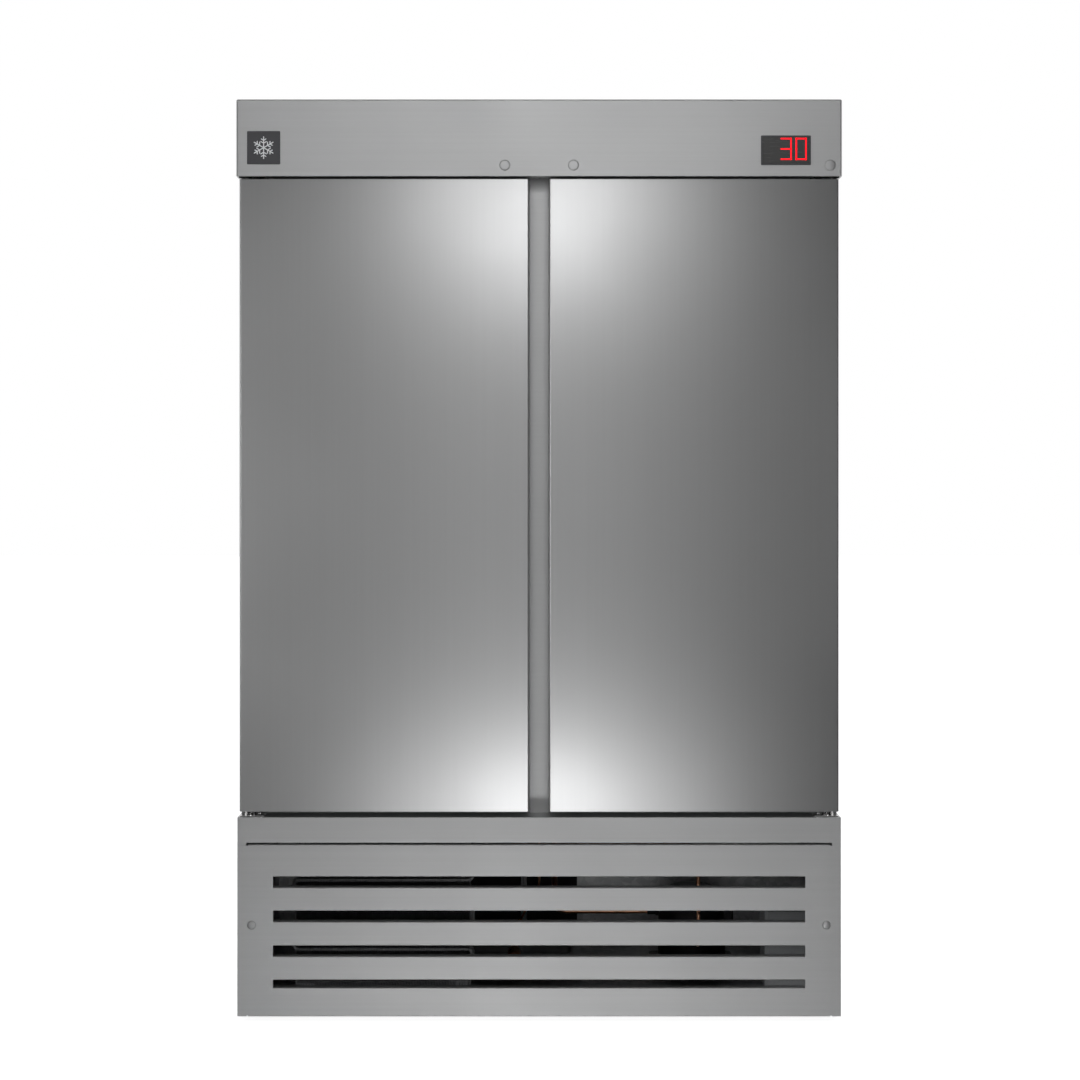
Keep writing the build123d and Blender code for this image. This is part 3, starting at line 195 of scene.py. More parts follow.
class Shape:
    """The surface of one piece while it's being made."""

    def __init__(self) -> None:
        """Starts with nothing."""
        self.bm = bmesh.new()

    def loft(self, loops: Sequence[Loop], ends: tuple[bool, bool] = (True, True),
             ring: bool = False) -> "Shape":
        """Joins closed loops of equal length by faces.

        Args:
            loops: the loops, in order.
            ends: whether the first and the last loop are filled.
            ring: whether the last loop joins the first.
        """
        rows = [[self.bm.verts.new(point) for point in loop] for loop in loops]
        count = len(rows[0])
        last = len(rows) if ring else len(rows) - 1
        for index in range(last):
            one, two = rows[index], rows[(index + 1) % len(rows)]
            for step in range(count):
                after = (step + 1) % count
                self.bm.faces.new((one[step], one[after], two[after], two[step]))
        if not ring:
            if ends[0]:
                self.bm.faces.new(rows[0][::-1])
            if ends[1]:
                self.bm.faces.new(rows[-1])
        return self

    def prism(self, section: Loop, along: Along, low: float, high: float) -> "Shape":
        """Adds a bar with the given section between two places on an axis."""
        return self.loft([[along.at(p.x, p.y, w) for p in section] for w in (low, high)])

    def block(self, low: Point, high: Point, radius: float = 0.0, along: Along = Along.Z) -> "Shape":
        """Adds a rectangular bar whose edges along one axis are rounded."""
        u, v, w = along.value
        section = box_outline((low[u], low[v]), (high[u], high[v]), radius)
        return self.prism(section, along, low[w], high[w])

    def stepped(self, rims: Sequence[tuple[float, float, float, float]], along: Along,
                centre: Point, steps: int = 5, ends: tuple[bool, bool] = (True, True)) -> "Shape":
        """Adds a form made of rounded rectangles at different levels.

        Args:
            rims: (width, height, corner radius, level) for each rectangle.
            along: the axis that the levels lie on.
            centre: the middle of the rectangles, in the section's two numbers.
            steps: straight pieces in each rounded corner.
            ends: whether the first and last rectangle are filled.
        """
        loops = []
        for width, height, radius, level in rims:
            low = (centre[0] - width / 2, centre[1] - height / 2)
            high = (centre[0] + width / 2, centre[1] + height / 2)
            outline = box_outline(low, high, max(radius, 1e-5), steps)
            loops.append([along.at(p.x, p.y, level) for p in outline])
        return self.loft(loops, ends)

    def turned(self, profile: Sequence[tuple[float, float]], foot: Point, axis: Point, sides: int = 40,
               ends: tuple[bool, bool] = (True, True)) -> "Shape":
        """Adds a turned form.

        Args:
            profile: (radius, height) from one end to the other.
            foot: the point of height 0 on the axis.
            axis: the direction of the axis.
            sides: how many sides the circles have.
            ends: whether the first and the last circle are filled.
        """
        turn = Vector((0, 0, 1)).rotation_difference(Vector(axis).normalized())
        foot = Vector(foot)
        loops = []
        for radius, height in profile:
            ring = disc_outline((0, 0), max(radius, 1e-5), sides)
            loops.append([foot + turn @ Vector((p.x, p.y, height)) for p in ring])
        return self.loft(loops, ends)

    def pipe(self, points: Sequence[Point], radius: float, bend: float = 0.0, sides: int = 14,
             steps: int = 7, closed: bool = False) -> "Shape":
        """Adds a round wire or pipe through the points, with arcs at its corners."""
        line = bent(points, bend, closed, steps)
        clean = [line[0]]
        for point in line[1:]:
            if (point - clean[-1]).length > 1e-5:
                clean.append(point)
        if closed and (clean[0] - clean[-1]).length < 1e-5:
            clean.pop()
        count = len(clean)
        across = None
        loops = []
        for index, point in enumerate(clean):
            before = clean[index - 1] if index or closed else None
            after = clean[(index + 1) % count] if index < count - 1 or closed else None
            tangent = ((after or point) - (before or point)).normalized()
            if across is None:
                across = tangent.orthogonal().normalized()
            across = (across - tangent * across.dot(tangent)).normalized()
            other = tangent.cross(across)
            ring = disc_outline((0, 0), radius, sides)
            loops.append([point + across * p.x + other * p.y for p in ring])
        if closed:
            self._close_ring(loops)
            return self
        return self.loft(loops)

    def _close_ring(self, loops: list[Loop]) -> None:
        """Joins a ring of circles, turning the last seam so that nothing twists."""
        first, last = loops[0], loops[-1]
        shift = min(range(len(first)), key=lambda k: (first[k] - last[0]).length)
        turned = first[shift:] + first[:shift]
        self.loft([*loops, turned], ends=(False, False))

    def plate(self, outlines: Sequence[Loop], along: Along, low: float, high: float) -> "Shape":
        """Adds a flat sheet with holes.

        Args:
            outlines: the outer outline, then one for each hole.
            along: the axis square to the sheet.
            low: where the sheet starts on that axis.
            high: where it ends.
        """
        sheet = bmesh.new()
        for outline in outlines:
            verts = [sheet.verts.new(along.at(p.x, p.y, low)) for p in outline]
            for index, vert in enumerate(verts):
                sheet.edges.new((vert, verts[(index + 1) % len(verts)]))
        bmesh.ops.triangle_fill(sheet, use_beauty=True, use_dissolve=False, edges=sheet.edges[:])
        grown = bmesh.ops.extrude_face_region(sheet, geom=sheet.faces[:])
        moved = [item for item in grown["geom"] if isinstance(item, bmesh.types.BMVert)]
        bmesh.ops.translate(sheet, verts=moved, vec=along.at(0.0, 0.0, high - low))
        self._take(sheet)
        return self

    def ladder(self, edges: tuple[float, float], holes: tuple[float, float], rungs: Sequence[float],
               along: Along, low: float, high: float) -> "Shape":
        """Adds a long flat strip with a row of rectangular holes.

        Args:
            edges: the strip's two long edges.
            holes: the two sides of every hole.
            rungs: the levels of the strip's start, each hole's bottom and top, and the strip's end.
            along: the axis square to the strip.
            low: where the strip's face starts on that axis.
            high: where it ends.
        """
        strip = bmesh.new()
        columns = (edges[0], *holes, edges[1])
        rows = [[strip.verts.new(along.at(u, v, low)) for u in columns] for v in rungs]
        for index in range(len(rows) - 1):
            for cell in range(3):
                if cell == 1 and index % 2:
                    continue
                strip.faces.new((rows[index][cell], rows[index][cell + 1], rows[index + 1][cell + 1],
                                 rows[index + 1][cell]))
        grown = bmesh.ops.extrude_face_region(strip, geom=strip.faces[:])
        moved = [item for item in grown["geom"] if isinstance(item, bmesh.types.BMVert)]
        bmesh.ops.translate(strip, verts=moved, vec=along.at(0.0, 0.0, high - low))
        self._take(strip)
        return self

    def copy_of(self, node: bpy.types.Object) -> "Shape":
        """Adds the welded surface of a part of the frame."""
        part = bmesh.new()
        part.from_mesh(node.data)
        bmesh.ops.remove_doubles(part, verts=part.verts[:], dist=2e-6)
        bmesh.ops.dissolve_limit(
            part, angle_limit=math.radians(0.5), verts=part.verts[:], edges=part.edges[:], delimit={"NORMAL"},
        )
        self._take(part)
        return self

    def _take(self, other: bmesh.types.BMesh) -> None:
        """Adds another surface to this one and frees it."""
        mesh = bpy.data.meshes.new("part")
        other.to_mesh(mesh)
        other.free()
        self.bm.from_mesh(mesh)
        bpy.data.meshes.remove(mesh)

    def moved(self, offset: Point) -> "Shape":
        """Moves everything made so far."""
        bmesh.ops.translate(self.bm, verts=self.bm.verts[:], vec=Vector(offset))
        return self

    def mirrored(self) -> "Shape":
        """Turns everything made so far into its mirror image across the cabinet's middle."""
        for vert in self.bm.verts:
            vert.co.x = -vert.co.x
        bmesh.ops.reverse_faces(self.bm, faces=self.bm.faces[:])
        return self

    def eased(self, width: float = 0.0004, segments: int = 2) -> "Shape":
        """Rounds every sharp edge a little, as a deburred sheet is."""
        bmesh.ops.recalc_face_normals(self.bm, faces=self.bm.faces[:])
        sharp = [
            edge for edge in self.bm.edges
            if len(edge.link_faces) == 2 and edge.calc_face_angle(0.0) > math.radians(50)
        ]
        bmesh.ops.bevel(self.bm, geom=sharp, offset=width, segments=segments, profile=0.5, affect="EDGES",
                        clamp_overlap=True)
        return self

    def mesh(self, name: str) -> bpy.types.Mesh:
        """Returns the finished mesh, with faces outwards and normals weighted towards the flats."""
        bmesh.ops.recalc_face_normals(self.bm, faces=self.bm.faces[:])
        made = bpy.data.meshes.new(name)
        self.bm.to_mesh(made)
        self.bm.free()
        made.shade_smooth()
        made.set_sharp_from_angle(angle=SMOOTH_ANGLE)
        holder = bpy.data.objects.new(name, made)
        bpy.context.scene.collection.objects.link(holder)
        weigh = holder.modifiers.new("flats", "WEIGHTED_NORMAL")
        weigh.keep_sharp = True
        done = settled(holder)
        bpy.data.objects.remove(holder)
        done.name = name
        return done


def settled(holder: bpy.types.Object) -> bpy.types.Mesh:
    """Returns an object's surface with its modifiers made into plain mesh."""
    bpy.context.view_layer.update()
    graph = bpy.context.evaluated_depsgraph_get()
    return bpy.data.meshes.new_from_object(
        holder.evaluated_get(graph), preserve_all_data_layers=True, depsgraph=graph)


# ---------------------------------------------------------------- finishes


class Grain(Enum):
    """Which way the brush marks of a ground sheet run, as stretches of the surface pattern."""

    ACROSS = (1.2, 260.0, 260.0)
    UPRIGHT = (260.0, 260.0, 1.2)
    DEEP = (260.0, 1.2, 260.0)


class Palette:
    """Adds the shader nodes of one material and joins them."""

    def __init__(self, name: str) -> None:
        """Starts a material with one Principled shader."""
        self.material = bpy.data.materials.new(name)
        self.material.use_nodes = True
        self.tree = self.material.node_tree
        self.shader = self.tree.nodes["Principled BSDF"]
        self.place = self.tree.nodes.new("ShaderNodeTexCoord").outputs["Object"]

    @classmethod
    def of_world(cls, world: bpy.types.World) -> "Palette":
        """Starts an empty shader for the surroundings, by direction."""
        mix = cls.__new__(cls)
        world.use_nodes = True
        mix.tree = world.node_tree
        mix.tree.nodes.clear()
        mix.place = mix.tree.nodes.new("ShaderNodeTexCoord").outputs["Generated"]
        return mix

    def node(self, kind: str, inputs: Optional[dict] = None, **settings) -> bpy.types.Node:
        """Adds a node, sets its options, and joins or sets its inputs."""
        made = self.tree.nodes.new(kind)
        for name, value in settings.items():
            setattr(made, name, value)
        for name, value in (inputs or {}).items():
            if isinstance(value, bpy.types.NodeSocket):
                self.tree.links.new(value, made.inputs[name])
            else:
                made.inputs[name].default_value = value
        return made

    def scaled(self, scale: Point) -> bpy.types.NodeSocket:
        """Returns the surface's own coordinates, stretched."""
        return self.node("ShaderNodeMapping", {"Vector": self.place, "Scale": tuple(scale)}).outputs["Vector"]

    def cloud(self, scale: float, detail: float = 3.0, vector: Optional[bpy.types.NodeSocket] = None,
              roughness: float = 0.55) -> bpy.types.NodeSocket:
        """Returns a soft random pattern."""
        made = self.node("ShaderNodeTexNoise", {
            "Vector": vector or self.place, "Scale": scale, "Detail": detail, "Roughness": roughness})
        return made.outputs["Fac"]

    def cells(self, scale: float, feature: str = "F1") -> bpy.types.Node:
        """Returns a cell pattern."""
        return self.node("ShaderNodeTexVoronoi", {"Vector": self.place, "Scale": scale}, feature=feature)

    def between(self, value: bpy.types.NodeSocket, low: float, high: float,
                start: float = 0.3, end: float = 0.7) -> bpy.types.NodeSocket:
        """Spreads a pattern between two numbers."""
        made = self.node("ShaderNodeMapRange", {
            "Value": value, "From Min": start, "From Max": end, "To Min": low, "To Max": high})
        return made.outputs["Result"]

    def tinted(self, factor: bpy.types.NodeSocket, dark: Point, light: Point) -> bpy.types.NodeSocket:
        """Returns a colour between two, by a pattern."""
        made = self.node("ShaderNodeMix", data_type="RGBA")
        self.tree.links.new(factor, made.inputs[0])
        made.inputs[6].default_value = (*dark, 1.0)
        made.inputs[7].default_value = (*light, 1.0)
        return made.outputs[2]

    def bumped(self, height: bpy.types.NodeSocket, strength: float, distance: float,
               under: Optional[bpy.types.NodeSocket] = None) -> bpy.types.NodeSocket:
        """Returns a normal disturbed by a height pattern."""
        inputs = {"Height": height, "Strength": strength, "Distance": distance}
        if under is not None:
            inputs["Normal"] = under
        return self.node("ShaderNodeBump", inputs).outputs["Normal"]

    def feed(self, **inputs) -> None:
        """Sets or joins the shader's inputs; an underscore in a name stands for a space."""
        for name, value in inputs.items():
            socket = self.shader.inputs[name.replace("_", " ")]
            if isinstance(value, bpy.types.NodeSocket):
                self.tree.links.new(value, socket)
            else:
                socket.default_value = value


def grey(level: float, warmth: float = 0.0) -> tuple[float, float, float]:
    """Returns a grey, a little warmer or cooler."""
    return (level * (1 + warmth), level, level * (1 - warmth))


def scaled_colour(colour: Point, factor: float) -> tuple[float, ...]:
    """Returns a colour made darker or lighter."""
    return tuple(min(channel * factor, 1.0) for channel in colour)


@dataclass(frozen=True)
class Steel:
    """Ground stainless or plated sheet: fine brush marks, soft smears and slight oil-canning."""

    name: str
    level: float
    roughness: float
    grain: Grain
    marks: float = 0.10
    smears: float = 0.03
    wave: float = 0.0
    relief: float = 0.0001
    warmth: float = -0.006

    def material(self) -> bpy.types.Material:
        """Builds the material."""
        mix = Palette(self.name)
        lines = mix.cloud(6.0, 4.0, mix.scaled(self.grain.value), 0.62)
        streaks = mix.cloud(0.6, 2.0, mix.scaled(self.grain.value))
        smear = mix.cloud(3.2, 5.0)
        colour = grey(self.level, self.warmth)
        tone = mix.node("ShaderNodeMath", {0: lines, 1: streaks}, operation="ADD").outputs[0]
        tone = mix.between(tone, 0.0, 1.0, 0.6, 1.4)
        mix.feed(
            Base_Color=mix.tinted(tone, scaled_colour(colour, 1 - self.marks / 2),
                                  scaled_colour(colour, 1 + self.marks / 2)),
            Metallic=1.0,
            Roughness=mix.between(smear, self.roughness - self.smears, self.roughness + self.smears),
            Normal=self._relief(mix, lines),
        )
        return mix.material

    def _relief(self, mix: Palette, lines: bpy.types.NodeSocket) -> bpy.types.NodeSocket:
        """Returns the brush marks' relief, over the sheet's slow waves where it has any."""
        under = mix.bumped(mix.cloud(1.1, 0.0), self.wave, 0.02) if self.wave else None
        return mix.bumped(lines, 0.05, self.relief, under)


@dataclass(frozen=True)
class Galvanised:
    """Zinc-coated sheet with a faint spangle."""

    name: str
    level: float

    def material(self) -> bpy.types.Material:
        """Builds the material."""
        mix = Palette(self.name)
        spangle = mix.cells(70.0).outputs["Color"]
        patch = mix.node("ShaderNodeSeparateColor", {"Color": spangle}).outputs[0]
        dull = mix.cloud(9.0, 5.0)
        mix.feed(
            Base_Color=mix.tinted(patch, grey(self.level * 0.86, -0.02), grey(self.level * 1.1, -0.01)),
            Metallic=1.0,
            Roughness=mix.between(dull, 0.36, 0.52),
            Normal=mix.bumped(patch, 0.08, 0.0004),
        )
        return mix.material


@dataclass(frozen=True)
class Polished:
    """Turned and polished metal with fine tool rings, or drawn pipe with tarnish."""

    name: str
    colour: tuple[float, float, float]
    tarnish: tuple[float, float, float]
    roughness: float

    def material(self) -> bpy.types.Material:
        """Builds the material."""
        mix = Palette(self.name)
        film = mix.cloud(28.0, 5.0)
        rings = mix.cloud(4.0, 2.0, mix.scaled((30.0, 30.0, 700.0)))
        mix.feed(
            Base_Color=mix.tinted(mix.between(film, 0.0, 1.0, 0.45, 0.75), self.colour, self.tarnish),
            Metallic=1.0,
            Roughness=mix.between(film, self.roughness, self.roughness + 0.14),
            Normal=mix.bumped(rings, 0.05, 0.0001),
        )
        return mix.material


@dataclass(frozen=True)
class Enamel:
    """Sprayed or baked paint: orange peel, dust and a clear gloss."""

    name: str
    colour: tuple[float, float, float]
    roughness: float
    peel: float = 0.12
    coat: float = 0.25

    def material(self) -> bpy.types.Material:
        """Builds the material."""
        mix = Palette(self.name)
        dust = mix.cloud(14.0, 6.0)
        skin = mix.cloud(420.0, 2.0)
        mix.feed(
            Base_Color=mix.tinted(mix.between(dust, 0.0, 1.0), scaled_colour(self.colour, 0.92),
                                  scaled_colour(self.colour, 1.06)),
            Roughness=mix.between(dust, self.roughness - 0.05, self.roughness + 0.08),
            Coat_Weight=self.coat,
            Coat_Roughness=0.12,
            Normal=mix.bumped(skin, self.peel, 0.0003),
        )
        return mix.material


@dataclass(frozen=True)
class Moulding:
    """Moulded plastic, vinyl or rubber: fine spark texture and slight scuffs."""

    name: str
    colour: tuple[float, float, float]
    roughness: float
    texture: float = 0.2
    fineness: float = 900.0
    sheen: float = 0.0

    def material(self) -> bpy.types.Material:
        """Builds the material."""
        mix = Palette(self.name)
        scuff = mix.cloud(22.0, 6.0)
        spark = mix.cloud(self.fineness, 2.0)
        mix.feed(
            Base_Color=mix.tinted(mix.between(scuff, 0.0, 1.0), scaled_colour(self.colour, 0.97),
                                  scaled_colour(self.colour, 1.02)),
            Roughness=mix.between(scuff, self.roughness - 0.03, self.roughness + 0.03),
            Sheen_Weight=self.sheen,
            Normal=mix.bumped(spark, self.texture, 0.00025),
        )
        return mix.material


@dataclass(frozen=True)
class Foam:
    """Rigid foam with small cells."""

    name: str
    colour: tuple[float, float, float]

    def material(self) -> bpy.types.Material:
        """Builds the material."""
        mix = Palette(self.name)
        cell = mix.cells(520.0).outputs["Distance"]
        age = mix.cloud(5.0, 4.0)
        mix.feed(
            Base_Color=mix.tinted(age, scaled_colour(self.colour, 0.82), scaled_colour(self.colour, 1.08)),
            Roughness=mix.between(age, 0.85, 0.95),
            Normal=mix.bumped(cell, 0.5, 0.001),
        )
        return mix.material


@dataclass(frozen=True)
class Window:
    """A smoked window: near-black plastic with faint wipe marks."""

    name: str
    level: float

    def material(self) -> bpy.types.Material:
        """Builds the material."""
        mix = Palette(self.name)
        wipe = mix.cloud(30.0, 4.0, mix.scaled((1.0, 1.0, 7.0)))
        mix.feed(
            Base_Color=mix.tinted(wipe, grey(self.level * 0.9), grey(self.level * 1.12)),
            Roughness=mix.between(wipe, 0.2, 0.3),
            Specular_IOR_Level=0.2,
            Normal=mix.bumped(wipe, 0.02, 0.0001),
        )
        return mix.material


@dataclass(frozen=True)
class Lit:
    """A surface that gives light: a number's bars or a lamp cover."""

    name: str
    colour: tuple[float, float, float]
    strength: float
    ribs: float = 0.0

    def material(self) -> bpy.types.Material:
        """Builds the material."""
        mix = Palette(self.name)
        uneven = mix.cloud(180.0, 3.0)
        mix.feed(
            Base_Color=mix.tinted(uneven, scaled_colour(self.colour, 0.8), self.colour),
            Emission_Color=mix.tinted(uneven, scaled_colour(self.colour, 0.86), self.colour),
            Emission_Strength=self.strength,
            Roughness=mix.between(uneven, 0.3, 0.45),
            Specular_IOR_Level=0.1,
        )
        if self.ribs:
            rib = mix.cloud(1.0, 0.0, mix.scaled((420.0, 20.0, 20.0)))
            mix.feed(Normal=mix.bumped(rib, self.ribs, 0.0008))
        return mix.material


FINISHES = {
    "satin_steel": Steel("satin_steel_sheet", 0.60, 0.60, Grain.ACROSS, marks=0.06, smears=0.02, wave=0.01),
    "door_steel": Steel(
        "door_steel_sheet", 0.60, 0.32, Grain.UPRIGHT, marks=0.03, smears=0.01, relief=0.00002,
    ),
    "bright_steel": Polished("bright_turned_steel", grey(0.74), grey(0.62, 0.02), 0.12),
    "liner_steel": Steel("liner_mill_steel", 0.62, 0.34, Grain.UPRIGHT, marks=0.08, wave=0.03),
    "galvanised": Galvanised("galvanised_sheet", 0.52),
    "cap_metal": Steel("cap_dull_plate", 0.54, 0.58, Grain.DEEP, marks=0.04),
    "coil_aluminium": Steel("fin_aluminium", 0.78, 0.32, Grain.UPRIGHT, marks=0.12, warmth=-0.01),
    "copper": Polished("drawn_copper", (0.80, 0.42, 0.27), (0.50, 0.27, 0.17), 0.24),
    "black_paint": Enamel("black_enamel", grey(0.022), 0.34),
    "white_paint": Enamel("white_powder_coat", (0.80, 0.81, 0.81), 0.42, peel=0.2, coat=0.1),
    "shelf_wire": Enamel("pale_wire_coat", (0.72, 0.73, 0.73), 0.32, peel=0.15, coat=0.4),
    "black_plastic": Moulding("black_moulding", (0.030, 0.030, 0.034), 0.48),
    "grey_plastic": Moulding("grey_moulding", (0.33, 0.34, 0.35), 0.5),
    "white_plastic": Moulding("white_formed_sheet", (0.78, 0.79, 0.78), 0.36, texture=0.12, fineness=260.0),
    "lamp_plastic": Lit("lamp_cover", (0.90, 0.94, 0.98), 0.5, ribs=0.5),
    "display_glass": Window("smoked_window", 0.030),
    "gasket_grey": Moulding("gasket_vinyl", (0.27, 0.28, 0.29), 0.55, texture=0.1, sheen=0.1),
    "rubber_black": Moulding("black_rubber", (0.025, 0.025, 0.025), 0.75, texture=0.4, fineness=500.0),
    "foam": Foam("insulating_foam", (0.82, 0.73, 0.48)),
}
EXTRA_FINISHES = {
    "lit_bars": Lit("red_number_bars", (1.0, 0.003, 0.012), 1.05),
    "emblem_ink": Enamel("pale_emblem_ink", (0.60, 0.62, 0.63), 0.4, coat=0.0),
}


class Workshop:
    """Holds the finishes, and fits finished pieces to the frame's bodies."""

    def __init__(self, frame: dict) -> None:
        """Makes every finish, and gives the frame's own parts theirs."""
        self.frame = frame
        self.finishes = {slot: finish.material() for slot, finish in {**FINISHES, **EXTRA_FINISHES}.items()}
        self.slot_of = {part["node"]: part["material_slot"] for part in frame["record"]["subparts"]}
        self.body_of = {
            node: body for body, nodes in frame["record"]["behaviour"]["bodies"].items() for node in nodes
        }
        for node, item in frame["nodes"].items():
            for place in item.material_slots:
                place.material = self.finishes[self.slot_of[node]]

    def fit(self, name: str, shape: "Shape | bpy.types.Mesh", nodes: Sequence[str] = (), slot: str = "",
            body: str = "", finish: str = "") -> bpy.types.Object:
        """Places one finished piece.

        Args:
            name: the piece's name.
            shape: its surface.
            nodes: the frame's parts that it stands for.
            slot: its material slot; that of the first node if left out.
            body: the body that it rides on; that of the first node if left out.
            finish: another finish than the slot's own.

        Returns:
            The placed object.
        """
        mesh = shape.mesh(name) if isinstance(shape, Shape) else shape
        slot = slot or self.slot_of[nodes[0]]
        mesh.materials.clear()
        mesh.materials.append(self.finishes[finish or slot])
        piece = bpy.data.objects.new(name, mesh)
        bpy.context.scene.collection.objects.link(piece)
        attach(piece, body or self.body_of[nodes[0]])
        if nodes:
            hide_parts(*nodes)
        return piece


# ---------------------------------------------------------------- cabinet front


@dataclass(frozen=True)
class HeaderBox:
    """The folded header above the doors, with its plugs."""

    cap_rim: float = 0.0008

    def build(self, shop: Workshop) -> None:
        """Makes the header sheet and the plugs that close its holes."""
        header = Shape().copy_of(shop.frame["nodes"]["header_panel"]).eased(0.0005)
        shop.fit("header_box", header, ["header_panel"])
        room = Room.of("header_caps")
        front = Room.of("header_panel").low.y
        caps = Shape()
        for place, crown in self._places(room):
            caps.turned(self._profile(room, front, crown), (place[0], front, place[1]), (0, -1, 0))
        shop.fit("header_plugs", caps, ["header_caps"])

    def _places(self, room: Room) -> list[tuple[tuple[float, float], float]]:
        """Returns each plug's place on the front and how far its crown stands up."""
        radius = room.size.z / 2
        middle_x = Room.of("mullion_post").middle.x
        right = room.high.x - radius
        inner = abs(room.low.x + radius)
        level = room.middle.z
        return [((middle_x - inner, level), 0.0), ((middle_x + inner, level), 0.0), ((right, level), 0.0005)]

    def _profile(self, room: Room, front: float, crown: float) -> list[tuple[float, float]]:
        """Returns the turned outline of one plug, from its shank to its crown."""
        radius = room.size.z / 2
        proud = front - room.low.y - 0.0004
        return [
            (radius * 0.72, -0.006),
            (radius * 0.72, 0.0),
            (radius, 0.0),
            (radius, self.cap_rim * 0.5),
            (radius - 0.0004, self.cap_rim),
            (radius - 0.0022, proud - 0.0003),
            (radius - 0.0032, proud),
            (radius * 0.4, proud + crown * 0.7),
            (0.0, proud + crown),
        ]


@dataclass(frozen=True)
class Emblem:
    """The dark square plate on the header, with a plain snowflake."""

    rim: float = 0.0022
    arm: float = 0.0245
    stroke: float = 0.0021
    branches: tuple[tuple[float, float], ...] = ((0.42, 0.30), (0.68, 0.24))

    def build(self, shop: Workshop) -> None:
        """Makes the plate and the snowflake on it."""
        room = Room.of("badge_plate")
        width, height, depth = room.size.x, room.size.z, room.size.y
        centre = (room.middle.x, room.middle.z)
        front = room.low.y
        plate = Shape().stepped(
            [
                (width, height, 0.002, room.high.y),
                (width, height, 0.002, room.high.y - depth * 0.6),
                (width - 0.0010, height - 0.0010, 0.0016, front + 0.0001),
                (width - 0.0018, height - 0.0018, 0.0014, front),
                (width - 2 * self.rim, height - 2 * self.rim, 0.001, front),
                (width - 2 * self.rim - 0.0008, height - 2 * self.rim - 0.0008, 0.001, front + 0.0004),
            ],
            Along.Y,
            centre,
        )
        shop.fit("emblem_plate", plate, ["badge_plate"])
        flake = Shape()
        face = front + 0.0005
        for turn in range(6):
            angle = math.radians(30 + 60 * turn)
            self._bar(flake, centre, (0.0, 0.0), angle, self.arm, face)
            for share, reach in self.branches:
                root = (self.arm * share * math.cos(angle), self.arm * share * math.sin(angle))
                for lean in (-60, 60):
                    self._bar(flake, centre, root, angle + math.radians(lean), self.arm * reach, face)
        shop.fit("emblem_snowflake", flake, slot="black_plastic", body="cabinet", finish="emblem_ink")

    def _bar(self, shape: Shape, centre: Point, root: Point, angle: float, reach: float, face: float) -> None:
        """Adds one rounded stroke of the snowflake."""
        start = Vector((centre[0] + root[0], centre[1] + root[1], 0.0))
        along = Vector((math.cos(angle), math.sin(angle), 0.0))
        across = Vector((-along.y, along.x, 0.0)) * (self.stroke / 2)
        tip = start + along * reach
        cap = [tip + (across * math.cos(t) + along * (self.stroke / 2) * math.sin(t)) for t in
               (math.pi * k / 6 for k in range(7))]
        heel = [start + (across * math.cos(t) + along * (self.stroke / 2) * math.sin(t)) for t in
                (math.pi + math.pi * k / 6 for k in range(7))]
        shape.prism(cap + heel, Along.Y, face - 0.0007, face)


@dataclass(frozen=True)
class Display:
    """The temperature display: a dark window with two lit numbers at its right end."""

    reading: tuple[int, ...] = (3, 0)
    number_width: float = 0.0252
    number_height: float = 0.0500
    number_gap: float = 0.0085
    right_margin: float = 0.0066
    lift: float = 0.0030
    stroke: float = 0.0034
    BARS = {3: "abgcd", 0: "abcdef"}

    def build(self, shop: Workshop) -> None:
        """Makes the controller's bezel and body, the window and the numbers."""
        body = Shape().copy_of(shop.frame["nodes"]["display_controller"]).eased(0.0004, 3)
        shop.fit("display_bezel", body, ["display_controller"])
        room = Room.of("display_window")
        centre = (room.middle.x, room.middle.z)
        size = room.size
        window = Shape().stepped(
            [
                (size.x, size.z, 0.0008, room.high.y),
                (size.x, size.z, 0.0008, room.low.y + 0.0003),
                (size.x - 0.0006, size.z - 0.0006, 0.0006, room.low.y),
            ],
            Along.Y,
            centre,
        )
        shop.fit("display_window_pane", window, ["display_window"])
        numbers = Shape()
        right = room.high.x - self.right_margin
        for number in reversed(self.reading):
            low = (right - self.number_width, room.middle.z + self.lift - self.number_height / 2)
            for bar in self.BARS[number]:
                numbers.prism(self._bar(bar, low), Along.Y, room.low.y - 0.0004, room.low.y + 0.0002)
            right -= self.number_width + self.number_gap
        shop.fit("display_numbers", numbers, slot="display_glass", body="cabinet", finish="lit_bars")

    def _bar(self, bar: str, low: Point) -> Loop:
        """Returns the outline of one of a number's seven bars."""
        w, h, s = self.number_width, self.number_height, self.stroke
        gap = s * 0.05
        left, right, bottom, top, waist = s / 2, w - s / 2, s / 2, h - s / 2, h / 2
        ends = {
            "a": ((left, top), (right, top)),
            "g": ((left, waist), (right, waist)),
            "d": ((left, bottom), (right, bottom)),
            "b": ((right, waist), (right, top)),
            "c": ((right, bottom), (right, waist)),
            "f": ((left, waist), (left, top)),
            "e": ((left, bottom), (left, waist)),
        }[bar]
        start = Vector((low[0] + ends[0][0], low[1] + ends[0][1], 0.0))
        end = Vector((low[0] + ends[1][0], low[1] + ends[1][1], 0.0))
        along = (end - start).normalized()
        across = Vector((-along.y, along.x, 0.0)) * (s / 2 - gap)
        start, end = start - along * (s / 2 - gap), end + along * (s / 2 - gap)
        return [start - across, end - across, end + across, start + across]


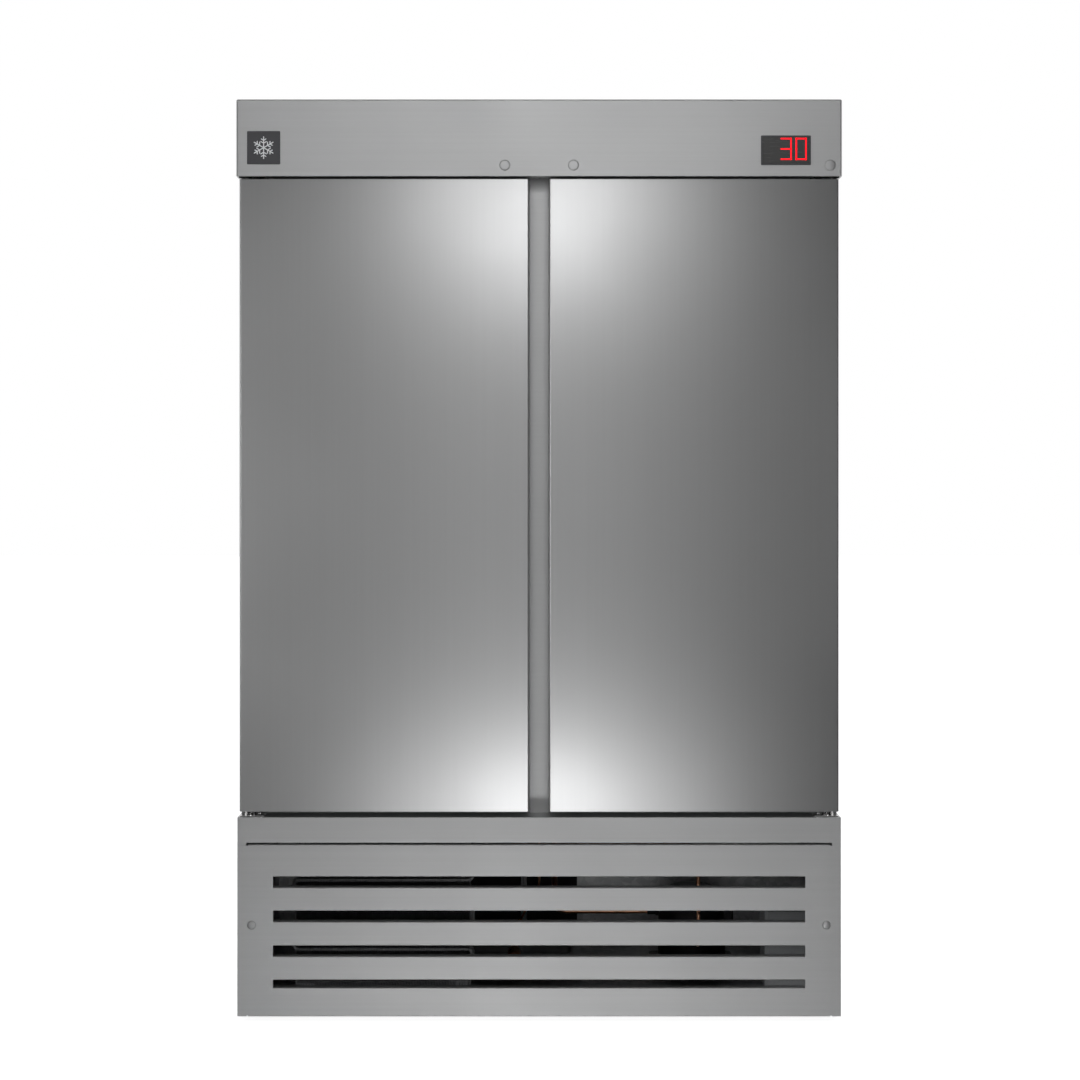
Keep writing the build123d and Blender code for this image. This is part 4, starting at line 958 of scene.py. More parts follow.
@dataclass(frozen=True)
class FrontFrame:
    """The cabinet's outer skins and the steel round its door openings."""

    post_bend: float = 0.0025
    hem: float = 0.012

    def build(self, shop: Workshop) -> None:
        """Makes the skins, stiles, rails and the post between the doors."""
        nodes = shop.frame["nodes"]
        for name, node in (
            ("side_skin_sheets", "side_skins"),
            ("top_skin_sheet", "top_skin"),
            ("rear_skin_sheet", "rear_skin"),
            ("frame_stile_sheets", "frame_stiles"),
            ("frame_rail_sheets", "frame_rails"),
        ):
            shop.fit(name, Shape().copy_of(nodes[node]).eased(0.0004), [node])
        room = Room.of("mullion_post")
        section = thick(
            bent(
                (
                    (room.low.x + self.hem, room.high.y),
                    (room.low.x, room.high.y),
                    (room.low.x, room.low.y),
                    (room.high.x, room.low.y),
                    (room.high.x, room.high.y),
                    (room.high.x - self.hem, room.high.y),
                ),
                self.post_bend,
            ),
            SHEET,
        )
        channel = Shape().prism(section, Along.Z, room.low.z, room.high.z)
        shop.fit("mullion_channel", channel, ["mullion_post"])


@dataclass(frozen=True)
class BasePanel:
    """The sill, the corner posts and the panel with four air slots between them."""

    bend: float = 0.0022
    slot_corner: float = 0.0025
    slot_half: float = 0.6015
    slots: tuple[tuple[float, float], ...] = (
        (0.0769, 0.0949), (0.1476, 0.1722), (0.2258, 0.2509), (0.3033, 0.3282))
    lip_depth: float = 0.0262
    hem_depth: float = 0.0075
    flange: float = 0.015

    def build(self, shop: Workshop) -> None:
        """Makes the sill, posts, panel and screws."""
        nodes = shop.frame["nodes"]
        shop.fit("sill_channel", Shape().copy_of(nodes["sill_rail"]).eased(0.0006), ["sill_rail"])
        shop.fit("base_corner_posts", Shape().copy_of(nodes["base_corners"]).eased(0.0004), ["base_corners"])
        self._panel(shop)
        self._screws(shop)

    def _panel(self, shop: Workshop) -> None:
        """Makes the panel: a slotted sheet, a rounded lip under each slot and a hem over it."""
        room = Room.of("grille_panel")
        front = room.low.y
        lip = self.bend
        holes = [
            box_outline((-self.slot_half, low - lip), (self.slot_half, high + lip), self.slot_corner)
            for low, high in self.slots
        ]
        screws = Room.of("grille_screws")
        radius = screws.size.z / 2
        for x in (screws.low.x + radius, screws.high.x - radius):
            holes.append(disc_outline((x, screws.middle.z), 0.0033, 16))
        edge = box_outline((room.low.x, room.low.z + lip), (room.high.x, room.high.z - lip), 0.0008)
        panel = Shape().plate([edge, *holes], Along.Y, front, front + SHEET).eased(0.0002, 1)
        for low, high in self.slots:
            panel_lip = self._fold(front, low - lip, low, self.lip_depth)
            panel_hem = self._fold(front, high + lip, high, self.hem_depth)
            for section in (panel_lip, panel_hem):
                panel.prism(section, Along.X, -self.slot_half, self.slot_half)
        for start, level in ((room.low.z + lip, room.low.z), (room.high.z - lip, room.high.z)):
            section = self._fold(front, start, level, self.flange)
            panel.prism(section, Along.X, room.low.x + 0.018, room.high.x - 0.010)
        shop.fit("base_panel", panel, ["grille_panel"])

    def _fold(self, front: float, start: float, level: float, depth: float) -> Loop:
        """Returns the section of a sheet that turns from the panel's face into it."""
        line = bent(((front, start), (front, level), (front + depth, level)), self.bend * 0.96)
        return thick(line, SHEET if level < start else -SHEET)

    def _screws(self, shop: Workshop) -> None:
        """Makes the two domed screws."""
        room = Room.of("grille_screws")
        front = Room.of("grille_panel").low.y
        radius = room.size.z / 2
        proud = front - room.low.y
        heads = Shape()
        for x in (room.low.x + radius, room.high.x - radius):
            foot = (x, front, room.middle.z)
            profile = [(0.003, -0.011), (0.003, 0.0), (radius, 0.0)]
            for step in range(7):
                angle = math.pi / 2 * step / 6
                profile.append((radius * math.cos(angle * 0.94), proud * math.sin(angle)))
            heads.turned([*profile, (radius * 0.07, proud * 0.999)], foot, (0, -1, 0), 36)
        shop.fit("base_panel_screws", heads, ["grille_screws"])


@dataclass(frozen=True)
class HingeSet:
    """The pivot brackets at the four outer corners of the doors."""

    pin: float = 0.006
    collar: float = 0.013
    plate: float = 0.003

    def build(self, shop: Workshop) -> None:
        """Makes the bottom barrels with their plates, and the top brackets with their pins."""
        bottom, top = Shape(), Shape()
        for side in (-1, 1):
            self._bottom(bottom, side)
            self._top(top, Room.of("hinge_brackets_top").half(side), side)
        shop.fit("hinge_pivots_bottom", bottom, ["hinge_brackets_bottom"])
        shop.fit("hinge_pivots_top", top, ["hinge_brackets_top"])

    def _axis(self, side: int) -> tuple[float, float]:
        """Returns where the hinge's axis stands."""
        bush = Room.of("door_bushes_right").middle
        return side * bush.x, bush.y

    def _bottom(self, shape: Shape, side: int) -> None:
        """Adds one bottom bracket: plate, stepped barrel, pin and two screws."""
        sill = Room.of("sill_rail").high.z
        door = Room.of("door_skin_right").low.z
        x, y = self._axis(side)
        outer, inner = side * 0.679, side * 0.621
        low, high = (min(outer, inner), y - 0.020), (max(outer, inner), y + 0.036)
        shape.stepped(
            [
                (high[0] - low[0], high[1] - low[1], 0.004, sill),
                (high[0] - low[0], high[1] - low[1], 0.004, sill + self.plate - 0.0006),
                (high[0] - low[0] - 0.0012, high[1] - low[1] - 0.0012, 0.0036, sill + self.plate),
            ],
            Along.Z,
            ((low[0] + high[0]) / 2, (low[1] + high[1]) / 2),
        )
        gap = door - 0.0006 - sill - self.plate
        levels = (
            (self.collar, 0.0), (self.collar, gap * 0.40), (self.collar - 0.0008, gap * 0.47),
            (self.collar - 0.0030, gap * 0.50), (self.collar - 0.0030, gap * 0.60),
            (self.collar - 0.0008, gap * 0.63), (self.collar, gap * 0.70), (self.collar, gap * 0.95),
            (self.collar - 0.0006, gap), (self.pin, gap), (self.pin, gap + 0.0245),
            (self.pin - 0.001, gap + 0.0255),
        )
        shape.turned(levels, (x, y, sill + self.plate), (0, 0, 1), 48)
        head = ((0.005, 0.0), (0.005, 0.0012), (0.0042, 0.0018), (0.0, 0.002))
        for screw_x in (x + side * 0.0005, x - side * 0.019):
            shape.turned(head, (screw_x, y + 0.022, sill + self.plate), (0, 0, 1), 24)

    def _top(self, shape: Shape, room: Room, side: int) -> None:
        """Adds one top bracket: an angle with its pin."""
        x, y = self._axis(side)
        low, high = room.low, room.high
        if side < 0:
            high = Vector((side * 0.621, high.y, high.z))
        else:
            low = Vector((side * 0.621, low.y, low.z))
        header = Room.of("header_panel").low.z
        section = thick(
            bent(((low.y, header - 0.004), (high.y, header - 0.004), (high.y, high.z)), 0.006),
            0.004,
        )
        shape.prism(section, Along.X, low.x, high.x)
        door_top = Room.of("door_skin_right").high.z
        pin = (
            (self.pin - 0.001, 0.0), (self.pin, 0.001), (self.pin, 0.026), (0.010, 0.0262), (0.010, 0.0276),
        )
        shape.turned(pin, (x, y, door_top - 0.026), (0, 0, 1), 32)


@dataclass(frozen=True)
class Door:
    """One door: folded skin, finger grip, formed liner, gasket and hinge bushes."""

    side: int
    bend: float = 0.0045
    sheet: float = 0.0012
    lip: float = 0.0125
    end_inset: float = 0.0012
    hinge_hole: float = 0.0093

    @property
    def hand(self) -> str:
        """The hand in the parts' names."""
        return "left" if self.side < 0 else "right"

    def build(self, shop: Workshop) -> None:
        """Makes all the door's pieces, drawn as the right door and mirrored for the left."""
        for name, node, shape in (
            ("skin_sheet", "door_skin", self._skin()),
            ("finger_grip", "door_grip", self._grip()),
            ("inner_panel", "door_liner", self._liner()),
            ("magnetic_gasket", "door_gasket", self._gasket()),
            ("hinge_bushes", "door_bushes", self._bushes()),
        ):
            handed = shape.mirrored() if self.side < 0 else shape
            shop.fit(f"door_{self.hand}_{name}", handed, [f"{node}_{self.hand}"])

    def _skin(self) -> Shape:
        """Returns the front sheet with its bends, and the two end plates set into it."""
        room = Room.of("door_skin_right")
        low, high = room.low, room.high
        line = bent(
            ((low.x, low.y + self.lip), (low.x, low.y), (high.x, low.y), (high.x, high.y)),
            self.bend,
            steps=10,
        )
        skin = Shape().prism(thick(line, self.sheet), Along.Z, low.z, high.z)
        pivot = Room.of("door_bushes_right").middle
        for start, end in ((low.z + 0.0002, low.z + 0.0014), (high.z - 0.0014, high.z - 0.0002)):
            outline = box_outline((low.x + self.end_inset, low.y + self.end_inset),
                                  (high.x - self.end_inset, high.y), 0.003)
            skin.plate([outline, disc_outline((pivot.x, pivot.y), self.hinge_hole, 32)], Along.Z, start, end)
        return skin.eased(0.0003, 2)

    def _grip(self) -> Shape:
        """Returns the full-height channel that fingers pull on."""
        room = Room.of("door_grip_right")
        line = bent(
            ((room.low.x, room.low.y), (room.high.x, room.low.y), (room.high.x, room.high.y),
             (room.low.x, room.high.y)),
            0.006,
        )
        return Shape().prism(thick(line, SHEET), Along.Z, room.low.z, room.high.z).eased(0.0004)

    def _liner(self) -> Shape:
        """Returns the formed inner panel: a flat border, a gasket groove's shoulder and a raised field."""
        room = Room.of("door_liner_right")
        centre = (room.middle.x, room.middle.z)
        width, height = room.size.x, room.size.z
        field = Room.of("door_gasket_right").size
        back = room.high.y
        base = back - 0.004
        inner = (field.x - 0.052, field.z - 0.052)
        border = (field.x - 0.034, field.z - 0.034)
        shape = Shape().stepped(
            [
                (width, height, 0.002, base - self.sheet),
                (width, height, 0.002, base - 0.0002),
                (width - 0.0006, height - 0.0006, 0.002, base),
            ],
            Along.Y,
            centre,
        )
        gasket = Room.of("door_gasket_right").middle
        shape.stepped(
            [
                (*border, 0.010, base - 0.0004),
                (border[0] - 0.004, border[1] - 0.004, 0.010, base + 0.0002),
                (inner[0] + 0.004, inner[1] + 0.004, 0.016, back - 0.0008),
                (*inner, 0.018, back - 0.0001),
                (inner[0] - 0.010, inner[1] - 0.010, 0.018, back),
                (inner[0] - 0.070, inner[1] - 0.070, 0.030, back),
                (inner[0] - 0.078, inner[1] - 0.078, 0.028, back - 0.0007),
                (inner[0] - 0.110, inner[1] - 0.110, 0.022, back - 0.0008),
            ],
            Along.Y,
            (gasket.x, gasket.z),
            steps=8,
        )
        web = Room.of("door_grip_right").high.y
        shape.block((room.low.x, web, room.low.z), (room.low.x + self.sheet, base, room.high.z))
        return shape

    def _gasket(self) -> Shape:
        """Returns the gasket: dart, bellows and magnet bead, mitred at its corners."""
        room = Room.of("door_gasket_right")
        width = 0.018
        root, tip = room.low.y, room.high.y
        reach = tip - root
        profile = (
            (0.0020, 0.00), (0.0005, 0.10), (0.0000, 0.26), (0.0028, 0.36), (0.0010, 0.46), (0.0000, 0.60),
            (0.0004, 0.84), (0.0018, 1.00), (0.0070, 0.97), (0.0110, 0.97), (width - 0.0018, 1.00),
            (width - 0.0004, 0.84), (width, 0.60), (width - 0.0010, 0.46), (width - 0.0028, 0.36),
            (width, 0.26), (width - 0.0005, 0.10), (width - 0.0020, 0.00),
        )
        loops = []
        for inset, share in profile:
            outline = box_outline(
                (room.low.x + inset, room.low.z + inset), (room.high.x - inset, room.high.z - inset), 0.0)
            loops.append([Along.Y.at(p.x, p.y, root + share * reach) for p in outline])
        return Shape().loft(loops, ring=True)

    def _bushes(self) -> Shape:
        """Returns the two bearing bushes."""
        room = Room.of("door_bushes_right")
        outer, bore, length = room.size.x / 2, 0.00605, 0.030
        shape = Shape()
        for foot, axis in ((room.low.z, 1), (room.high.z, -1)):
            profile = (
                (outer - 0.0006, 0.0), (outer, 0.0006), (outer, length - 0.0006), (outer - 0.0006, length),
                (bore + 0.0005, length), (bore, length - 0.0005), (bore, 0.0005), (bore + 0.0005, 0.0),
            )
            shape.turned([*profile, profile[0]], (room.middle.x, room.middle.y, foot), (0, 0, axis), 36,
                         (False, False))
        bmesh.ops.remove_doubles(shape.bm, verts=shape.bm.verts[:], dist=1e-6)
        return shape


# ---------------------------------------------------------------- repeats


@dataclass(frozen=True)
class Row:
    """A straight row of one repeated item, laid out by Geometry Nodes and then made plain mesh."""

    count: int
    start: tuple[float, float, float]
    step: tuple[float, float, float]
    lean: float = 0.0
    seed: int = 11

    def lay(self, name: str, item: Shape, finish: bpy.types.Material) -> bpy.types.Mesh:
        """Returns the whole row as one mesh."""
        mesh = item.mesh(f"{name}_item")
        pattern = bpy.data.objects.new(f"{name}_item", mesh)
        holder = bpy.data.objects.new(f"{name}_row", bpy.data.meshes.new(f"{name}_row"))
        for made in (pattern, holder):
            bpy.context.scene.collection.objects.link(made)
        tree = self._tree(name)
        layout = holder.modifiers.new("row", "NODES")
        layout.node_group = tree
        wanted = {"Item": pattern, "Count": self.count, "Start": self.start, "Step": self.step,
                  "Lean": self.lean, "Seed": self.seed, "Finish": finish}
        for socket in tree.interface.items_tree:
            if socket.item_type == "SOCKET" and socket.name in wanted:
                layout[socket.identifier] = wanted[socket.name]
        done = settled(holder)
        for made in (pattern, holder):
            bpy.data.objects.remove(made)
        done.name = name
        return done

    def _tree(self, name: str) -> bpy.types.NodeTree:
        """Builds the node tree: a line of points, the item on each, leant a little, made real."""
        tree = bpy.data.node_groups.new(f"{name}_layout", "GeometryNodeTree")
        for label, kind in (("Item", "Object"), ("Count", "Int"), ("Start", "Vector"), ("Step", "Vector"),
                            ("Lean", "Float"), ("Seed", "Int"), ("Finish", "Material")):
            tree.interface.new_socket(label, in_out="INPUT", socket_type=f"NodeSocket{kind}")
        tree.interface.new_socket("Geometry", in_out="OUTPUT", socket_type="NodeSocketGeometry")
        entry = tree.nodes.new("NodeGroupInput").outputs
        line = tree.nodes.new("GeometryNodeMeshLine")
        line.mode = "OFFSET"
        source = tree.nodes.new("GeometryNodeObjectInfo")
        place = tree.nodes.new("GeometryNodeInstanceOnPoints")
        chance = tree.nodes.new("FunctionNodeRandomValue")
        chance.data_type = "FLOAT"
        negative = tree.nodes.new("ShaderNodeMath")
        negative.operation = "MULTIPLY"
        negative.inputs[1].default_value = -1.0
        turn = tree.nodes.new("ShaderNodeCombineXYZ")
        real = tree.nodes.new("GeometryNodeRealizeInstances")
        coat = tree.nodes.new("GeometryNodeSetMaterial")
        out = tree.nodes.new("NodeGroupOutput")
        for start, end in (
            (entry["Count"], line.inputs["Count"]),
            (entry["Start"], line.inputs["Start Location"]),
            (entry["Step"], line.inputs["Offset"]),
            (entry["Item"], source.inputs["Object"]),
            (line.outputs["Mesh"], place.inputs["Points"]),
            (source.outputs["Geometry"], place.inputs["Instance"]),
            (entry["Lean"], negative.inputs[0]),
            (negative.outputs[0], chance.inputs[2]),
            (entry["Lean"], chance.inputs[3]),
            (entry["Seed"], chance.inputs["Seed"]),
            (chance.outputs[1], turn.inputs["Z"]),
            (turn.outputs[0], place.inputs["Rotation"]),
            (place.outputs["Instances"], real.inputs["Geometry"]),
            (real.outputs["Geometry"], coat.inputs["Geometry"]),
            (entry["Finish"], coat.inputs["Material"]),
            (coat.outputs["Geometry"], out.inputs["Geometry"]),
        ):
            tree.links.new(start, end)
        return tree


# ---------------------------------------------------------------- storage space


@dataclass(frozen=True)
class Storage:
    """The liner, the slotted shelf rails, the clips, the lamp and the wire shelves."""

    rim_wire: float = 0.004
    cross_wire: float = 0.003
    deck_wire: float = 0.002
    deck_wires: int = 23
    rim_bend: float = 0.018
    slot_pitch: float = 0.025

    def build(self, shop: Workshop) -> None:
        """Makes everything inside the storage space."""
        nodes = shop.frame["nodes"]
        for name, node in (
            ("liner_side_sheets", "liner_sides"),
            ("liner_rear_sheet", "liner_rear"),
            ("liner_ceiling_sheet", "liner_ceiling"),
            ("liner_floor_sheet", "liner_floor"),
            ("shelf_clip_hooks", "shelf_clips"),
            ("lamp_cover_diffuser", "interior_lamp"),
        ):
            shop.fit(name, Shape().copy_of(nodes[node]).eased(0.0006), [node])
        self._rails(shop)
        for hand in ("left", "right"):
            self._shelves(shop, f"shelves_{hand}")

    def _rails(self, shop: Workshop) -> None:
        """Makes the eight slotted rails that the clips hook into."""
        room = Room.of("shelf_pilasters")
        wall = room.high.x
        stand, width = 0.008, 0.016
        post = Room.of("mullion_post").high.y
        rails = Shape()
        for side in (-1, 1):
            for y in (-0.230, 0.270):
                face = side * (wall - stand)
                self._rail(rails, Along.X, y, room, (face, face + side * 0.0012), (face, side * wall), width)
            x = side * 0.032
            self._rail(rails, Along.Y, x, room, (post + stand, post + stand - 0.0012), (post + stand, post),
                       width)
            back = room.high.y
            self._rail(rails, Along.Y, x, room, (back - stand, back - stand + 0.0012), (back - stand, back),
                       width)
        shop.fit("shelf_rail_strips", rails, ["shelf_pilasters"])

    def _rail(self, shape: Shape, along: Along, centre: float, room: Room, face: tuple[float, float],
              depth: tuple[float, float], width: float) -> None:
        """Adds one rail: a slotted strip and its two side walls."""
        low, high = room.low.z, room.high.z
        half = width / 2
        rungs = [low]
        for index in range(int((high - low - 0.02) / self.slot_pitch)):
            level = low + 0.016 + index * self.slot_pitch
            rungs.extend((level, level + 0.005))
        rungs.append(high)
        shape.ladder((centre - half, centre + half), (centre - 0.0045, centre + 0.0045), rungs, along, *face)
        for edge in (centre - half, centre + half - 0.0012):
            near, far = sorted(depth)
            section = box_outline((edge, low), (edge + 0.0012, high))
            shape.prism(section, along, near, far)

    def _shelves(self, shop: Workshop, node: str) -> None:
        """Makes three shelves: rims and cross wires by sweeps, deck wires as a row."""
        room = Room.of(node)
        reach = self.rim_wire
        x_low, x_high = room.low.x + reach, room.high.x - reach
        y_low, y_high = room.low.y + reach, room.high.y - reach
        levels = (0.830, 1.150, 1.470)
        frame = Shape()
        for level in levels:
            corners = ((x_low, y_low, level), (x_high, y_low, level), (x_high, y_high, level),
                       (x_low, y_high, level))
            frame.pipe(corners, self.rim_wire, self.rim_bend, closed=True)
            for y in (-0.150, 0.027, 0.204):
                frame.pipe(((x_low, y, level), (x_high, y, level)), self.cross_wire)
        shop.fit(f"{node}_rims", frame, [node])
        wire = Shape()
        lift = self.cross_wire + self.deck_wire - 0.0012
        for level in levels:
            top = level + lift
            wire.pipe(
                ((0.0, y_low - 0.0058, level - 0.004), (0.0, y_low - 0.0058, top),
                 (0.0, y_high + 0.002, top)),
                self.deck_wire, 0.0035, sides=8, steps=4)
        pitch = (x_high - x_low) / (self.deck_wires + 1)
        row = Row(self.deck_wires, (x_low + pitch, 0.0, 0.0), (pitch, 0.0, 0.0))
        decks = row.lay(f"{node}_deck_wires", wire, shop.finishes["shelf_wire"])
        shop.fit(f"{node}_deck_wires", decks, slot="shelf_wire", body="cabinet")


@dataclass(frozen=True)
class FinnedCoil:
    """A heat exchanger: thin fins, tubes with return bends and end plates."""

    name: str
    node: str
    rows: int
    fins: int
    tube: float = 0.005
    overhang: float = 0.013

    def build(self, shop: Workshop) -> None:
        """Makes the fins as a row and the tubes by sweeps."""
        room = Room.of(self.node)
        low, high = room.low.x + self.overhang, room.high.x - self.overhang
        y_low, y_high = room.low.y, room.high.y
        z_low, z_high = room.low.z, room.high.z
        fin = Shape()
        crimps = 8
        section = []
        for index in range(crimps + 1):
            y = y_low + (y_high - y_low) * index / crimps
            section.append(Vector((0.0004 if index % 2 else -0.0004, y, 0.0)))
        fin.prism(thick(section, 0.00035), Along.Z, z_low, z_high)
        pitch = (high - low) / (self.fins + 1)
        row = Row(self.fins, (low + pitch, 0.0, 0.0), (pitch, 0.0, 0.0))
        mesh = row.lay(f"{self.name}_fins", fin, shop.finishes["coil_aluminium"])
        shop.fit(f"{self.name}_fins", mesh, slot="coil_aluminium", body="cabinet")
        tubes = Shape()
        middle = (y_low + y_high) / 2
        step = (z_high - z_low) / self.rows
        reach = (y_high - y_low) / 4
        for offset in (-reach, reach):
            points = []
            for index in range(self.rows):
                level = z_low + (index + 0.5) * step
                ends = [(low - 0.006, middle + offset, level), (high + 0.006, middle + offset, level)]
                points.extend(ends if index % 2 == 0 else ends[::-1])
            tubes.pipe(points, self.tube * 0.95, min(step * 0.48, 0.012), sides=12)
        for edge in (low - 0.001, high):
            tubes.block((edge, y_low, z_low), (edge + 0.001, y_high, z_high), 0.002, Along.X)
        shop.fit(f"{self.name}_tubes", tubes, [self.node])


@dataclass(frozen=True)
class Fan:
    """A fan wheel with swept, twisted blades."""

    node: str
    axis: tuple[float, float, float]
    hub: float
    blades: int
    shaft: float
    twist: tuple[float, float] = (38.0, 20.0)
    chord: tuple[float, float] = (0.9, 1.35)

    def build(self, shop: Workshop) -> None:
        """Makes the hub, the shaft and the blades."""
        joint = next(j for j in shop.frame["record"]["behaviour"]["joints"] if j["child"] == self.node)
        pivot = Vector(joint["pos_m"])
        room = Room.of(self.node)
        axis = Vector(self.axis)
        turn = Vector((0, 0, 1)).rotation_difference(axis)
        reach = max(room.size.x, room.size.z if abs(axis.z) < 0.5 else room.size.y) / 2 - 0.002
        spans = sorted(((corner - pivot).dot(axis) for corner in (room.low, room.high)))
        face = spans[1]
        depth = 0.030 if reach > 0.09 else 0.020
        wheel = Shape()
        wheel.turned(
            (
                (self.shaft, spans[0]), (self.shaft, face - depth), (self.hub - 0.001, face - depth),
                (self.hub, face - depth + 0.001),
                (self.hub, face - 0.003), (self.hub - 0.003, face - 0.0004), (self.hub * 0.5, face),
                (self.hub * 0.45, face - 0.0015), (0.0, face - 0.0015),
            ),
            pivot, self.axis, 40,
        )
        middle = face - depth / 2
        for index in range(self.blades):
            self._blade(wheel, pivot, turn, 2 * math.pi * index / self.blades, reach, middle, depth)
        shop.fit(f"{self.node}_wheel", wheel, [self.node])

    def _blade(self, wheel: Shape, pivot: Vector, turn, angle: float, reach: float, middle: float,
               depth: float) -> None:
        """Adds one blade as a thin closed form that widens, twists and sweeps outwards."""
        loops = []
        stations = 7
        for index in range(stations + 1):
            share = index / stations
            radius = self.hub * 0.9 + (reach - self.hub * 0.9) * share
            twist = math.radians(self.twist[0] + (self.twist[1] - self.twist[0]) * share)
            widening = (self.chord[1] - self.chord[0]) * math.sin(share * math.pi * 0.62)
            chord = depth * (self.chord[0] + widening)
            chord = min(chord, depth * 0.94 / max(math.sin(twist), 0.2))
            chord *= 1.0 if share < 0.95 else 0.82
            sweep = angle + 0.22 * share * share
            loop = []
            for step in range(12):
                lap = 2 * math.pi * step / 12
                along, across = math.cos(lap) * chord / 2, math.sin(lap) * 0.0009
                camber = 0.10 * chord * (1 - (2 * along / chord) ** 2)
                u = along * math.cos(twist) - (across + camber) * math.sin(twist)
                v = along * math.sin(twist) + (across + camber) * math.cos(twist)
                x = radius * math.cos(sweep) - u * math.sin(sweep)
                y = radius * math.sin(sweep) + u * math.cos(sweep)
                length = math.hypot(x, y)
                limit = min(1.0, reach / length)
                loop.append(pivot + turn @ Vector((x * limit, y * limit, middle + v)))
            loops.append(loop)
        wheel.loft(loops)


@dataclass(frozen=True)
class Evaporator:
    """The cooling unit under the ceiling: cover, guards and fan motors."""

    guard_rings: int = 5
    guard_wire: float = 0.0012

    def build(self, shop: Workshop) -> None:
        """Makes the cover, the wire guards under the fans and the motors on their arms."""
        nodes = shop.frame["nodes"]
        cover = Shape().copy_of(nodes["evaporator_cover"]).eased(0.0006)
        shop.fit("evaporator_cover_pan", cover, ["evaporator_cover"])
        bottom = Room.of("evaporator_cover").low.z
        guards, motors = Shape(), Shape()
        for hand in ("left", "right"):
            fan = Room.of(f"evaporator_fan_{hand}").middle
            radius = 0.086
            for index in range(self.guard_rings):
                ring = radius * (index + 1) / self.guard_rings
                points = [(p.x, p.y, bottom - 0.004) for p in disc_outline((fan.x, fan.y), ring, 40)]
                guards.pipe(points, self.guard_wire, closed=True, sides=6)
            for index in range(4):
                angle = math.pi * index / 4 + 0.2
                reach = Vector((math.cos(angle), math.sin(angle), 0.0)) * (radius + 0.003)
                centre = Vector((fan.x, fan.y, bottom - 0.002))
                guards.pipe((centre - reach, centre + reach), self.guard_wire * 1.3, sides=6)
            self._motor(motors, Room.of("evaporator_fan_motors"), fan.x, fan.y)
        shop.fit("evaporator_fan_guards", guards, slot="shelf_wire", body="cabinet")
        shop.fit("evaporator_motors", motors, ["evaporator_fan_motors"])

    def _motor(self, shape: Shape, room: Room, x: float, y: float) -> None:
        """Adds one motor: ribbed can, end boss and a strap with two legs."""
        top = room.high.z
        low = top - 0.046
        profile = [
            (0.004, low), (0.014, low), (0.016, low + 0.003), (0.030, low + 0.004), (0.032, low + 0.007),
        ]
        for index in range(5):
            level = low + 0.012 + index * 0.006
            profile.extend((
                (0.032, level), (0.0308, level + 0.001), (0.0308, level + 0.002), (0.032, level + 0.003),
            ))
        profile.extend(((0.032, top - 0.004), (0.029, top - 0.001), (0.010, top), (0.0, top)))
        shape.turned([(r, z - low) for r, z in profile], (x, y, low), (0, 0, 1), 36)
        half, foot = 0.098, room.low.z
        strap = bent(
            ((x - half, foot), (x - half, top - 0.0105), (x + half, top - 0.0105), (x + half, foot)), 0.005,
        )
        shape.prism(thick(strap, -0.002), Along.Y, y - 0.010, y + 0.010)


# ---------------------------------------------------------------- base and rear


